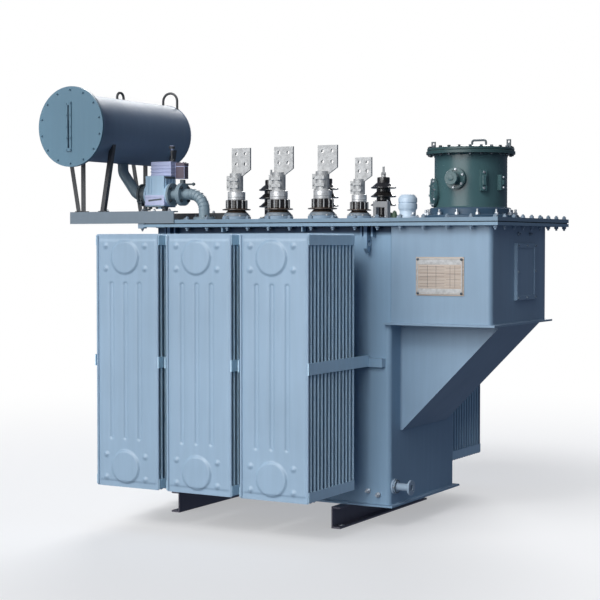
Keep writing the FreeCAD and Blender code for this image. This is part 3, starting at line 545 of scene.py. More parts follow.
def panel(bm, centre_x, outer_y, side, z0, width, height, fine):
    """Closed pressed panel: two pressed sheets, back to back, with rounded corners."""
    half = width / 2
    columns = panel_columns(half, fine)
    rows = panel_rows(height, fine)
    sheets = []
    for face in (1, -1):
        grid = []
        for z in rows:
            end = min(z, height - z)
            cut = 0.0
            if end < PANEL_CORNER:
                cut = PANEL_CORNER - sqrt(PANEL_CORNER ** 2 - (PANEL_CORNER - end) ** 2)
            line = []
            for x in columns:
                bent = max(-half + cut, min(half - cut, x))
                out = pressing(x, z, width, height, -side)
                if face > 0:
                    y = outer_y + side * (out - DISC_RISE)
                else:
                    y = outer_y - side * (DISC_RISE + PANEL_T + 0.3 * out)
                line.append(bm.verts.new((centre_x + bent, y, z0 + z)))
            grid.append(line)
        sheets.append(grid)
    for grid in sheets:
        for low, high in zip(grid, grid[1:]):
            for i in range(len(columns) - 1):
                bm.faces.new((low[i], low[i + 1], high[i + 1], high[i]))
    a, b = sheets
    for i in range(len(columns) - 1):
        for k in (0, -1):
            bm.faces.new((a[k][i], a[k][i + 1], b[k][i + 1], b[k][i]))
    for j in range(len(rows) - 1):
        for k in (0, -1):
            bm.faces.new((a[j][k], a[j + 1][k], b[j + 1][k], b[j][k]))


def radiator(node_name, side):
    """Pressed panels on two headers, with bands, welds and bolted flanges."""
    lo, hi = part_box(node_name)
    x0, x1 = lo.x + BAND, hi.x - BAND
    cx, width, height = (x0 + x1) / 2, x1 - x0, hi.z - lo.z
    outer = hi.y if side > 0 else lo.y
    flange_face = lo.y if side > 0 else hi.y
    bm, painted_light_folds = bmesh.new(), bmesh.new()
    for i in range(PANEL_COUNT):
        y = outer - side * (i * PANEL_PITCH - (DISC_RISE - 0.001 if i else 0))
        panel(bm, cx, y, side, lo.z, width, height, i == 0)
        fold = y - side * (DISC_RISE + PANEL_T / 2)
        for edge in (x0 + BEAD_R, x1 - BEAD_R):
            ends = [Vector((edge, fold, z)) for z in (lo.z + 0.010, hi.z - 0.010)]
            # the front panel's folds keep the radiator paint; the inner ones take the lighter copy, painted
            # light on the fin sides
            sweep(painted_light_folds if i else bm, ends, BEAD_R, 10)
    inner = outer - side * ((PANEL_COUNT - 1) * PANEL_PITCH + PANEL_T)
    inward = Y * -side
    for z in (lo.z + HEADER_INSET, hi.z - HEADER_INSET):
        start = outer - side * (DISC_RISE + PANEL_T / 2)
        length = abs(flange_face - start)
        disc(bm, at(cx, start, z, inward), HEADER_R, length, 0.001, 40)
        flange = at(cx, flange_face + side * FLANGE_T, z, inward)
        disc(bm, flange, FLANGE_R, FLANGE_T, 0.002, 48)
        ring_weld(bm, flange, HEADER_R + 0.003)
        for i in range(PANEL_COUNT):
            y = outer - side * (i * PANEL_PITCH + PANEL_T + DISC_RISE)
            ring_weld(bm, at(cx, y, z, inward), HEADER_R + 0.002, 0.003)
    for edge in (-1, 1):
        x = cx + edge * width / 2
        for z in (lo.z + PANEL_CORNER, hi.z - PANEL_CORNER - BAND_H):
            slab(painted_light_folds, x, x + edge * BAND, outer - side * DISC_RISE, inner, z, z + BAND_H, 0.0008)
    piece("visual_" + node_name, bm, "radiator", [node_name], 28)
    # painted light: the inner folds and the bands get a lighter copy of the radiator paint
    piece("folds_" + node_name, painted_light_folds, "radiator_painted_light")
    studs = bmesh.new()
    for z in (lo.z + HEADER_INSET, hi.z - HEADER_INSET):
        for x, bolt_z in circle(cx, z, FLANGE_BOLTS_R, 8, pi / 8):
            bolt(studs, x, flange_face + side * FLANGE_T, bolt_z, Y * side, M12)
    piece("flange_bolts_" + node_name, studs, "bolt")


for side, label in ((FRONT, "front"), (REAR, "rear")):
    for number in (1, 2, 3):
        radiator(f"radiator_{label}_{number}", side)


def valve_details():
    """Handles and bolts on the header valves, and beads where the stubs meet the wall."""
    lo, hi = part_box("tank_body")
    bm, beads = bmesh.new(), bmesh.new()
    for side, label in ((FRONT, "front"), (REAR, "rear")):
        wall = hi.y if side > 0 else lo.y
        face = wall + side * (VALVE_DEPTH + FLANGE_T)
        for number in (1, 2, 3):
            rad_lo, rad_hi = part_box(f"radiator_{label}_{number}")
            cx = (rad_lo.x + rad_hi.x) / 2
            for z in (rad_lo.z + HEADER_INSET, rad_hi.z - HEADER_INSET):
                for x, bolt_z in circle(cx, z, FLANGE_BOLTS_R, 8, pi / 8):
                    bolt(bm, x, face - side * FLANGE_T, bolt_z, Y * -side, M12)
                handle = z + 0.072 + 0.034
                slab(bm, cx - 0.012, cx + 0.072, face + side * 0.012, face + side * 0.038,
                     handle - 0.008, handle)
                ring_weld(beads, at(cx, wall, z, Y * side), HEADER_R + 0.003)
    piece("valve_bolts", bm, "bolt")
    piece("stub_welds", beads, "tank")


valve_details()


# ---------------------------------------------------------------- cover joint
BOLT_PITCH = 0.160
BOLT_INSET = 0.024


def cover_bolts():
    """Bolts through cover, gasket and rim, all the way round."""
    cover_lo, cover_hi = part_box("cover_plate")
    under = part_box("tank_rim")[0].z
    x0, x1 = cover_lo.x + BOLT_INSET, cover_hi.x - BOLT_INSET
    y0, y1 = cover_lo.y + BOLT_INSET, cover_hi.y - BOLT_INSET
    places = [(x, y) for y in (y0, y1) for x in on_line(x0, x1, BOLT_PITCH)]
    places += [(x, y) for x in (x0, x1) for y in on_line(y0, y1, BOLT_PITCH)[1:-1]]
    supports = [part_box("conservator_beam_front"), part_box("conservator_beam_rear"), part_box("beam_clamps")]
    heads, nuts = bmesh.new(), bmesh.new()
    for x, y in places:
        if any(lo.x - 0.02 < x < hi.x + 0.02 and lo.y - 0.02 < y < hi.y + 0.02 for lo, hi in supports):
            continue
        bolt(heads, x, y, cover_hi.z, Z, M16, 0.9)
        bolt(nuts, x, y, under, -Z, M16, 1.4)
    piece("cover_bolt_heads", heads, "painted_bolt")
    piece("cover_bolt_nuts", nuts, "fitting")


def rim_welds():
    """Beads under the rim."""
    lo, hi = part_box("tank_body")
    box_lo, box_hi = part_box("tap_box")
    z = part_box("tank_rim")[0].z
    bm = bmesh.new()
    weld(bm, (lo.x, box_hi.x), lo.y - 0.001, z)
    weld(bm, box_hi.x + 0.001, (box_lo.y, box_hi.y), z)
    weld(bm, lo.x - 0.001, (lo.y, hi.y), z)
    weld(bm, (lo.x, hi.x), hi.y + 0.001, z)
    piece("rim_welds", bm, "rim")


cover_bolts()
rim_welds()


# ---------------------------------------------------------------- tank and compartment
def tank_welds():
    """Beads at the tank's foot and stiffeners, and round the compartment."""
    lo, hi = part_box("tank_body")
    box_lo, box_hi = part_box("tap_box")
    rib_lo, rib_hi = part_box("tank_ribs")
    wedge_lo, wedge_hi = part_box("tap_box_wedge")
    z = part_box("tank_base_plate")[1].z
    corner, fine = 0.028, 0.004         # rounded corner of the wall, and a thinner bead
    bm = bmesh.new()
    for y, out in ((lo.y, -0.001), (hi.y, 0.001)):
        weld(bm, (lo.x + corner, hi.x - corner), y + out, z)
        for rib_z in (rib_lo.z, rib_hi.z):
            weld(bm, (rib_lo.x + 0.1, hi.x - 0.06), y + out, rib_z, fine)
    for x, out in ((lo.x, -0.001), (hi.x, 0.001)):
        weld(bm, x + out, (lo.y + corner, hi.y - corner), z)
    for y in (box_lo.y + 0.001, hi.y - 0.002):
        weld(bm, hi.x + 0.002, y, (box_lo.z, hi.z - 0.02), fine)
    piece("tank_welds", bm, "tank")
    bm = bmesh.new()
    weld(bm, (hi.x, box_hi.x - corner), box_lo.y - 0.001, box_lo.z)
    weld(bm, box_hi.x + 0.001, (box_lo.y + corner, box_hi.y - corner), box_lo.z)
    for y in (wedge_lo.y, wedge_hi.y):
        weld(bm, hi.x + 0.001, y, (wedge_lo.z, wedge_hi.z - 0.01), fine)
        weld(bm, (wedge_lo.x, wedge_hi.x - 0.01), y, wedge_hi.z - 0.001, fine)
    piece("compartment_welds", bm, "box")


def hatch_details():
    """Raised frame and bolts on the end hatch, and two studs above it."""
    lo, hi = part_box("tap_box_hatch")
    w, t = 0.030, 0.006                 # width and thickness of the frame
    bm = bmesh.new()
    for y0, y1, z0, z1 in ((lo.y, hi.y, hi.z - w, hi.z), (lo.y, hi.y, lo.z, lo.z + w),
                           (lo.y, lo.y + w, lo.z + w, hi.z - w), (hi.y - w, hi.y, lo.z + w, hi.z - w)):
        slab(bm, hi.x, hi.x + t, y0, y1, z0, z1, 0.0015)
    piece("hatch_frame", bm, "box")
    bm = bmesh.new()
    ys, zs = (lo.y + w / 2, hi.y - w / 2), (lo.z + w / 2, hi.z - w / 2)
    places = [(y, z) for y in on_line(*ys, 0.150) for z in zs]
    places += [(y, z) for z in on_line(*zs, 0.165)[1:-1] for y in ys]
    for y, z in places:
        bolt(bm, hi.x + t, y, z, X, M8, 0.8)
    for dy in (-0.10, 0.10):
        bolt(bm, lo.x, (lo.y + hi.y) / 2 + dy, hi.z + 0.060, X, M12, 1.6)
    piece("hatch_bolts", bm, "painted_bolt")


def nameplate_details():
    """Border, two bands, a blank ruled table and corner screws."""
    lo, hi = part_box("nameplate")
    width, face = hi.x - lo.x, lo.y
    inset, rim, t = 0.009, 0.006, 0.0022        # border: from the edge, width, thickness
    x0, x1, z0, z1 = lo.x + inset, hi.x - inset, lo.z + inset, hi.z - inset
    bm = bmesh.new()
    for za, zb in ((z0, z0 + rim), (z1 - rim, z1)):
        slab(bm, x0, x1, face - t, face, za, zb, 0.0006)
    for xa, xb in ((x0, x0 + rim), (x1 - rim, x1)):
        slab(bm, xa, xb, face - t, face, z0 + rim, z1 - rim, 0.0006)
    for za, zb in ((z0 + 0.008, z0 + 0.034), (z1 - 0.038, z1 - 0.008)):
        slab(bm, x0 + 0.008, x1 - 0.008, face - 0.0012, face, za, zb, 0.0004)
    piece("plate_border", bm, "tin")
    bm = bmesh.new()
    half = 0.0014 / 2                           # ruled lines
    split = x0 + width * 0.60
    for count, xa, xb in ((8, x0 + 0.018, split - 0.008), (5, split + 0.004, x1 - 0.016)):
        for k in range(1, count):
            z = z0 + 0.026 + (z1 - z0 - 0.056) * k / count
            slab(bm, xa, xb, face - 0.0010, face, z - half, z + half, 0)
    for x in (x0 + width * 0.22, x0 + width * 0.40, split + 0.030, split + 0.062):
        slab(bm, x - half, x + half, face - 0.0009, face, z0 + 0.040, z1 - 0.044, 0)
    piece("plate_table", bm, "dark_bolt")
    bm = bmesh.new()
    for x in (lo.x + inset / 2 + 0.010, hi.x - inset / 2 - 0.010):
        for z in (lo.z + inset / 2 + 0.010, hi.z - inset / 2 - 0.010):
            lathe(bm, mm("0 0, 8.5 0, 8 3, 4 5.2, 0 5.6"), at(x, face - t, z, -Y), 16)
    piece("plate_screws", bm, "dark_bolt")


def earth_and_drain():
    """Nuts on the earth studs, and the bolts and bead of the drain flange."""
    lo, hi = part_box("earth_studs")
    bm = bmesh.new()
    for x, z in ((lo.x + 0.016, hi.z - 0.016), (hi.x - 0.016, lo.z + 0.016)):
        loose_nut(bm, at(x, hi.y - 0.014, z, -Y), 0.0072, 0.010)
    piece("earth_nuts", bm, "bolt")
    lo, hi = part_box("drain_valve")
    y, z = middle(lo, hi)[1:]
    bm = bmesh.new()
    for bolt_y, bolt_z in circle(y, z, 0.036, 4):
        bolt(bm, lo.x + 0.012, bolt_y, bolt_z, X, M8, 0.8)
    piece("drain_bolts", bm, "bolt")
    bm = bmesh.new()
    ring_weld(bm, at(lo.x + 0.024, y, z, X), 0.040, 0.003)
    piece("drain_weld", bm, "dark")


def hook_welds():
    """Beads along the lifting hooks and their cheeks."""
    lo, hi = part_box("lifting_hooks")
    tank_lo, tank_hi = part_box("tank_body")
    bm = bmesh.new()
    for x in (lo.x + 0.044, hi.x - 0.044):
        for wall in (tank_lo.y, tank_hi.y):
            for edge in (-1, 1):
                weld(bm, x + edge * 0.012, wall, (lo.z + 0.070, hi.z), 0.004)
                weld(bm, x + edge * 0.044, wall, (hi.z - 0.066, hi.z), 0.0035)
    piece("hook_welds", bm, "tank")


def skid_details():
    """Beads and the washers over the foundation bolt holes."""
    base_lo, base_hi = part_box("tank_base_plate")
    beads, plates = bmesh.new(), bmesh.new()
    for name, side in (("skid_left", -1), ("skid_right", 1)):
        lo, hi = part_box(name)
        back = hi.x if side < 0 else lo.x
        weld(beads, back - side * 0.001, (max(lo.y, base_lo.y) + 0.01, min(hi.y, base_hi.y) - 0.01), hi.z)
        for end in (-1, 1):
            lathe(plates, mm("11.5 0, 21 0, 21 3, 11.5 3, 11.5 0"),
                  at(back + side * 0.033, end * ((hi.y - lo.y) / 2 - 0.075), lo.z + 0.012), 24)
    piece("skid_welds", beads, "skid")
    piece("skid_washers", plates, "bolt")


tank_welds()
hatch_details()
nameplate_details()
earth_and_drain()
hook_welds()
skid_details()


# ---------------------------------------------------------------- tap changer head
ROUND = 128                     # sides of the large round shells


def head_details():
    """Stepped base ring, shell with its beads, domed lid, and the bolts of both joints."""
    body_lo, body_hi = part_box("tap_head_body")
    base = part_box("tap_head_base")
    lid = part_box("tap_head_lid")
    cx, cy, _ = middle(body_lo, body_hi)
    body_r, base_r, lid_r = half_width(body_lo, body_hi), half_width(*base), half_width(*lid)
    base_z, lid_z = base[0].z, lid[0].z
    step_r, lid_edge = 0.262, 0.280
    bm = bmesh.new()
    lathe(bm, [(0, 0), (base_r - 0.002, 0), (base_r, 0.002), (base_r, 0.017), (base_r - 0.003, 0.020),
               (step_r + 0.006, 0.020), (step_r, 0.026), (step_r, 0.060), (step_r - 0.008, 0.068),
               (body_r + 0.004, 0.068), (0, 0.068)], at(cx, cy, base_z), ROUND)
    piece("head_base_ring", bm, "head_base", ["tap_head_base"])

    bm = bmesh.new()
    high = body_hi.z - body_lo.z
    lathe(bm, [(0, 0), (body_r, 0), (body_r, high), (0, high)], at(cx, cy, body_lo.z), ROUND)
    seam = 0.35
    x, y = cx + body_r * cos(seam), cy + body_r * sin(seam)
    weld(bm, x, y, (body_lo.z + 0.004, body_hi.z - 0.004), 0.003)
    for z in (body_lo.z + 0.003, body_hi.z - 0.003):
        ring_weld(bm, at(cx, cy, z), body_r + 0.001)
    piece("head_shell", bm, "head", ["tap_head_body"])

    bm = bmesh.new()
    lathe(bm, [(0, 0), (lid_r - 0.002, 0), (lid_r, 0.002), (lid_r, 0.018), (lid_r - 0.002, 0.020),
               (lid_edge + 0.0005, 0.020), (lid_edge - 0.004, 0.0225), (lid_edge, 0.025),
               (lid_edge, 0.037), (lid_edge - 0.003, 0.040), (lid_edge - 0.040, 0.042),
               (0.190, 0.052), (0.120, 0.0568), (0.050, 0.058), (0, 0.058)], at(cx, cy, lid_z), ROUND)
    piece("head_lid", bm, "head_lid", ["tap_head_lid"])

    bm = bmesh.new()
    plate_top = base_z + 0.020
    for x, y in circle(cx, cy, 0.289, 14, radians(-84)):
        loose_nut(bm, at(x, y, plate_top), M16, 0.015)
        disc(bm, at(x, y, plate_top + 0.015), M16 * 0.95, 0.022, 0.001, 12)
    piece("head_base_studs", bm, "bolt")

    bm = bmesh.new()
    for x, y in circle(cx, cy, 0.266, 24, 0.13):
        if abs(y - cy) < 0.03:          # the eyes stand here
            continue
        loose_nut(bm, at(x, y, lid_z + 0.040), M12, 0.009)
        loose_nut(bm, at(x, y, lid_z, -Z), M12, 0.009)
    piece("head_lid_bolts", bm, "dark_bolt")


def port_details():
    """Rings, bolts and caps on the ports of the head, and the beads of its lid's handle."""
    body_lo, body_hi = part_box("tap_head_body")
    cx, cy, _ = middle(body_lo, body_hi)
    body_r = half_width(body_lo, body_hi)
    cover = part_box("tap_head_base")[0].z

    def facing(angle):
        """Direction that is turned by an angle from the front."""
        return Vector((sin(radians(angle)), -cos(radians(angle)), 0))

    def ring_of_nuts(face, out, r, count, start, rise):
        side = Z.cross(out)
        for a in around(count, start):
            spot = face + (side * cos(a) + Z * sin(a)) * r
            if rise:
                spot += out * rise
            loose_nut(studs, at(*spot, out), M8, 0.007)

    rings, studs = bmesh.new(), bmesh.new()
    out = facing(1)
    centre = Vector((cx, cy, cover + 0.250))
    face = centre + out * (body_r + 0.014 + 0.016)
    lathe(rings, mm("50 0, 64 0, 64 6, 50 6, 50 0"), at(*face, out), 48)
    lathe(rings, mm("37 -18, 43 -18, 43 -2, 41 0, 31 0, 29 -8, 20 -8, 18 4, 0 6"),
          at(*(face + out * 0.070), out), 40)
    ring_of_nuts(face, out, 0.057, 6, 0.4, 0.006)
    ring_weld(rings, at(*(centre + out * (body_r + 0.001)), out), 0.050, 0.003)

    out = facing(-54)
    face = Vector((cx, cy, cover + 0.166)) + out * (body_r + 0.002 + 0.016)
    lathe(rings, mm("60 0, 66 5, 70 5, 76 0"), at(*face, out), 48)
    ring_of_nuts(face, out, 0.081, 8, 0.2, 0)

    for angle, height, tall in ((42, 0.237, 0.132), (75, 0.225, 0.097)):
        out = facing(angle)
        for end in (-1, 1):
            spot = Vector((cx, cy, cover + height + end * (tall / 2 - 0.016))) + out * (body_r + 0.030)
            loose_nut(studs, at(*spot, out), M8, 0.008)
        turn = Matrix.Translation((cx, cy, cover + height)) @ Matrix.Rotation(radians(angle), 4, "Z")
        slab(rings, -0.012, 0.012, -body_r - 0.040, -body_r - 0.028, -tall / 2 + 0.034, tall / 2 - 0.034,
             0.003, turn)
    piece("port_rings", rings, "head")
    piece("port_bolts", studs, "bolt")

    lo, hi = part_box("tap_head_handle")
    bm = bmesh.new()
    for x in (lo.x + 0.018, hi.x - 0.018):
        for y in (cy - 0.006, cy + 0.006):
            weld(bm, (x - 0.016, x + 0.016), y, cover + 0.450, 0.003)
    for x in (cx + 0.058 - 0.048, cx + 0.058 + 0.048):
        ring_weld(bm, at(x, cy, cover + 0.4685), 0.008, 0.0025)
    piece("handle_welds", bm, "dark")


head_details()
port_details()


# ---------------------------------------------------------------- conservator
def conservator_details():
    """Drum with its beads, cover bolts, sight glass, and the beads of the lifting loops."""
    lo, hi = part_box("conservator_drum")
    cap_lo, cap_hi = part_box("conservator_cover")
    cx, _, cz = middle(cap_lo, cap_hi)
    end_r = half_width(cap_lo, cap_hi)
    r, dish = 0.230, 0.010
    front, rear = lo.y, hi.y
    length = rear - front
    bm = bmesh.new()
    lathe(bm, [(0, 0), (end_r - 0.001, 0), (end_r, 0.001), (end_r, 0.012), (end_r - 0.002, 0.014),
               (r, 0.014), (r, length - dish - 0.016), (r - 0.002, length - dish - 0.014),
               (r - 0.004, length - dish), (r - 0.030, length - 0.003), (r * 0.55, length), (0, length)],
          at(cx, front, cz, Y), ROUND)
    ring_weld(bm, at(cx, front + 0.016, cz, Y), r + 0.002)
    ring_weld(bm, at(cx, rear - dish - 0.008, cz, Y), r - 0.001, 0.004)
    seam = radians(205)
    weld(bm, cx + r * cos(seam), (front + 0.02, rear - dish - 0.02), cz + r * sin(seam), 0.003)
    piece("drum_shell", bm, "drum", ["conservator_drum"])

    bm = bmesh.new()
    places = circle(cx, cz, end_r - 0.024, 14, pi / 2)
    for x, z in places:
        bolt(bm, x, cap_lo.y, z, -Y, M8, 0.8)
    for x, z in places:
        bolt(bm, x, cap_hi.y + 0.014, z, Y, M12)
    piece("drum_cover_bolts", bm, "drum_cap")

    lo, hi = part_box("oil_gauge")
    gx, half = (lo.x + hi.x) / 2, 0.0062
    mats["glass"] = oil_glass("sight_glass", lo.z + (hi.z - lo.z) * 0.62, 0.006)
    bm = bmesh.new()
    slab(bm, gx - half, gx + half, lo.y + 0.004, lo.y + 0.0098, lo.z + 0.024, hi.z - 0.024, 0.001)
    piece("gauge_glass", bm, "glass")
    bm = bmesh.new()
    for z in on_line(lo.z + 0.012, hi.z - 0.012, 0.080):
        for x in (gx - 0.0155, gx + 0.0155):
            loose_nut(bm, at(x, lo.y, z, -Y), 0.0030, 0.004)
    piece("gauge_screws", bm, "drum_cap")
    bm = bmesh.new()
    for x in (lo.x, hi.x):
        weld(bm, x, cap_lo.y, (lo.z + 0.004, hi.z - 0.004), 0.002)
    piece("gauge_bead", bm, "drum_cap")

    bm = bmesh.new()
    small_y = front + 0.564
    for y in (small_y - 0.039, small_y + 0.039):
        ring_weld(bm, at(cx, y, cz + r + 0.001), 0.011, 0.0035)
    for dx in (0.047 - 0.063, 0.047 + 0.063):
        z = cz + sqrt(r * r - dx * dx)
        ring_weld(bm, at(cx + dx, rear - 0.020, z, Vector((dx, 0, z - cz)).normalized()), 0.012, 0.0035)
    piece("loop_welds", bm, "leg")


def support_details():
    """Foot plates and bolts of the conservator's legs, and the beam bolts."""
    cx = middle(*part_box("conservator_cover"))[0]
    feet, studs = bmesh.new(), bmesh.new()
    for end in ("front", "rear"):
        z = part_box("conservator_beam_" + end)[1].z
        y0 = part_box("conservator_frame_" + end)[0].y
        for x in (cx - 0.100, cx + 0.100):
            slab(feet, x - 0.034, x + 0.034, y0, y0 + 0.042, z, z + 0.006, 0.001)
            for bolt_x in (x - 0.025, x + 0.025):
                bolt(studs, bolt_x, y0 + 0.034, z + 0.006, Z, M8, 0.8)
        slab(feet, cx - 0.090, cx - 0.040, y0, y0 + 0.042, z, z + 0.006, 0.001)
    piece("leg_feet", feet, "leg")
    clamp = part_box("beam_clamps")[0]
    rim_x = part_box("tank_rim")[0].x
    for end in ("front", "rear"):
        lo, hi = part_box("conservator_beam_" + end)
        for x in (clamp.x + 0.023, rim_x + 0.075, rim_x + 0.200):
            bolt(studs, x, lo.y + 0.030, hi.z, Z, M12)
        bolt(studs, clamp.x + 0.023, lo.y + 0.028, clamp.z, -Z, M12, 1.4)
    piece("beam_bolts", studs, "bolt")


conservator_details()
support_details()


# ---------------------------------------------------------------- gas relay line
def flange_bolts(bm, x, y, z, thickness):
    """Four bolts through a flanged joint along X."""
    for bolt_y, bolt_z in circle(y, z, 0.063, 4, pi / 4):
        bolt(bm, x + thickness / 2, bolt_y, bolt_z, X, M12, 0.8)
        bolt(bm, x - thickness / 2, bolt_y, bolt_z, -X, M12, 0.8)


def relay_details():
    """Relay body's ribs, bands, marks and window, its terminal box and cock, and the oil line."""
    lo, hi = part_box("gas_relay")
    head_lo, head_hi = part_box("gas_relay_head")
    valve_lo, valve_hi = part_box("shutoff_valve")
    line_y = (valve_lo.y + valve_hi.y) / 2
    line_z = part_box("tank_rim")[1].z + 0.030 + 0.185
    x0, x1 = lo.x + 0.016, lo.x + 0.016 + 0.157
    y0, y1 = line_y - 0.074, line_y + 0.074
    z0, z1 = line_z - 0.082, line_z + 0.132
    lower_lo, lower_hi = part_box("oil_pipe_lower")
    elbow_x = lower_hi.x - 0.076
    joint_x = elbow_x - 0.197 + 0.016
    joint = 0.032                       # two flanges

    bm = bmesh.new()
    for x, thickness in ((valve_hi.x, joint), (hi.x, joint), (valve_lo.x + 0.008, joint / 2),
                         (joint_x, joint)):
        flange_bolts(bm, x, line_y, line_z, thickness)
    for x, y in circle(elbow_x, line_y, 0.060, 4, pi / 4):
        bolt(bm, x, y, lower_lo.z + 0.022, Z, M12, 0.8)
    piece("line_bolts", bm, "dark_bolt")

    bm = bmesh.new()
    for x in (x0 + 0.020, x0 + 0.045):
        slab(bm, x, x + 0.008, y0 - 0.004, y0, z0 + 0.090, z1 - 0.016)
    for y in (y0 + 0.022, y0 + 0.060, y0 + 0.098, y0 + 0.134):
        for xa, xb in ((x1, x1 + 0.007), (x0 - 0.007, x0)):
            slab(bm, xa, xb, y - 0.006, y + 0.006, z0 + 0.086, z1 - 0.022, 0.003)
    slab(bm, x0 + 0.030, x1 - 0.012, y1, y1 + 0.006, z0 + 0.095, z1 - 0.030, 0.003)
    piece("relay_ribs", bm, "relay")

    bm = bmesh.new()
    low, high = z0 + 0.006, z0 + 0.078
    for za, zb, out in ((low, low + 0.014, 0.006), (high - 0.016, high, 0.006),
                        (low + 0.014, high - 0.016, 0.003)):
        for xa, xb, ya, yb in ((x0 - out, x1 + out, y0 - out, y0), (x0 - out, x1 + out, y1, y1 + out),
                               (x1, x1 + out, y0, y1), (x0 - out, x0, y0, y1)):
            slab(bm, xa, xb, ya, yb, za, zb, 0.0015)
    for k in range(4):
        z = hi.z + 0.004 + 0.024 * k
        t = 0.004 if k < 3 else 0.002
        slab(bm, head_lo.x - t, x1 + 0.006 + t, head_lo.y - t, y1 + 0.006 + t, z, z + 0.010)
    piece("relay_bands", bm, "relay_head")

    bm = bmesh.new()
    tilt = Matrix.Translation(((x0 + x1) / 2, 0, z0 + 0.044)) @ Matrix.Rotation(radians(-5), 4, "Y")
    slab(bm, -0.052, 0.060, y0 - 0.0048, y0 - 0.0025, -0.006, 0.006, 0.0005, tilt)
    slab(bm, x0 + 0.004, x1 - 0.004, y0 - 0.003, y1 + 0.003, z0 - 0.006, z0, 0.001)
    for dx in (0.012, 0.075, 0.134):
        slab(bm, x0 + dx, x0 + dx + 0.022, y0 + 0.012, y0 + 0.036, z0 - 0.020, z0 - 0.005)
    slab(bm, x1 + 0.002, x1 + 0.008, y0 + 0.010, y1 - 0.010, z1 - 0.018, z1 - 0.006, 0.001)
    piece("relay_slots", bm, "dark")

    mats["window"] = oil_glass("relay_glass", z0 + 0.130, 0.004)
    bm = bmesh.new()
    cx = (x0 + x1) / 2
    slab(bm, cx - 0.026, cx + 0.026, y1 + 0.004, y1 + 0.010, z0 + 0.110, z1 - 0.050)
    piece("relay_window", bm, "window")

    bm = bmesh.new()
    bx0, bx1 = x1 + 0.006, head_hi.x
    by0, by1, bz = line_y + 0.058, head_hi.y, head_lo.z
    slab(bm, bx0 + 0.004, bx1 + 0.003, by0 - 0.003, by1 + 0.003, bz + 0.090, bz + 0.114, 0.003)
    slab(bm, bx0 + 0.002, bx1 + 0.001, by0 - 0.001, by1 + 0.001, bz - 0.001, bz + 0.089, 0.004)
    piece("terminal_box", bm, "relay_box")
    bm = bmesh.new()
    lathe(bm, mm("0 0, 16 0, 16 12, 12 14, 12 22, 9 24, 0 24"),
          at(bx1 - 0.040, by1 + 0.001, bz + 0.040, Y), 20)
    for x in (bx0 + 0.016, bx1 - 0.014):
        for y in (by0 + 0.012, by1 - 0.012):
            hex_nut(bm, at(x, y, bz + 0.114), M8 * 0.8, 0.004, 0.3)
    piece("terminal_fittings", bm, "dark_bolt")

    bm = bmesh.new()
    px, py = x1 + 0.006 - 0.014, line_y + 0.040
    lathe(bm, mm("0 0, 16 0, 16 12, 9.5 16, 9.5 60, 13 62, 13 72, 9.5 74, 9.5 80, 0 80"),
          at(px, py, hi.z + 0.104), 20)
    lathe(bm, mm("10 0, 20 0, 20.6 3, 20.6 19, 18 22.5, 0 22.5"), at(px, py, head_hi.z - 0.022), 20)
    piece("test_cock", bm, "leg")

    bm = bmesh.new()
    slab(bm, joint_x - 0.014, joint_x + 0.016, line_y - 0.016, line_y + 0.016,
         line_z + 0.076, line_z + 0.104, 0.003)
    slab(bm, joint_x + 0.010, joint_x + 0.072, line_y + 0.020, line_y + 0.034,
         line_z + 0.066, line_z + 0.078, 0.003)
    lathe(bm, mm("0 -12, 8 -10, 13 0, 8 10, 0 12"),
          at(joint_x + 0.074, line_y + 0.027, line_z + 0.072, X), 16)
    piece("line_lever", bm, "dark")

    bm = bmesh.new()
    wheel_x, wheel_z = (valve_lo.x + valve_hi.x) / 2, valve_lo.z + 0.005
    hub = Vector((wheel_x, line_y, wheel_z))
    sweep(bm, [Vector((x, y, wheel_z)) for x, y in circle(wheel_x, line_y, 0.030, 24)], 0.005, 8, True)
    for a in around(3, 0.5):
        sweep(bm, [hub, hub + Vector((cos(a), sin(a), 0)) * 0.029], 0.003, 6)
    for k in range(3):
        disc(bm, at(wheel_x, line_y - 0.060, line_z - 0.030 - 0.022 * k, -Y), 0.010, 0.010, 0.001, 16)
    piece("valve_wheel", bm, "dark")

    bm = bmesh.new()
    pipe_x, pipe_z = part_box("conservator_cover")[0].x + 0.276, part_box("oil_pipe_upper")[1].z
    ring_weld(bm, at(pipe_x, line_y, pipe_z - 0.001), 0.040, 0.004)
    bend, cuts = 0.110, 7
    for k in range(cuts + 1):
        a = radians(90 * k / cuts)
        spot = (elbow_x - bend + bend * sin(a), line_y, line_z - bend + bend * cos(a))
        ring_weld(bm, at(*spot, Vector((cos(a), 0, -sin(a)))), 0.0385, 0.003)
    ring_weld(bm, at(elbow_x, line_y, lower_lo.z + 0.023), 0.040, 0.004)
    for x in (joint_x + 0.017, valve_lo.x - 0.001):
        ring_weld(bm, at(x, line_y, line_z, X), 0.040, 0.003)
    piece("pipe_welds", bm, "pipe")


relay_details()


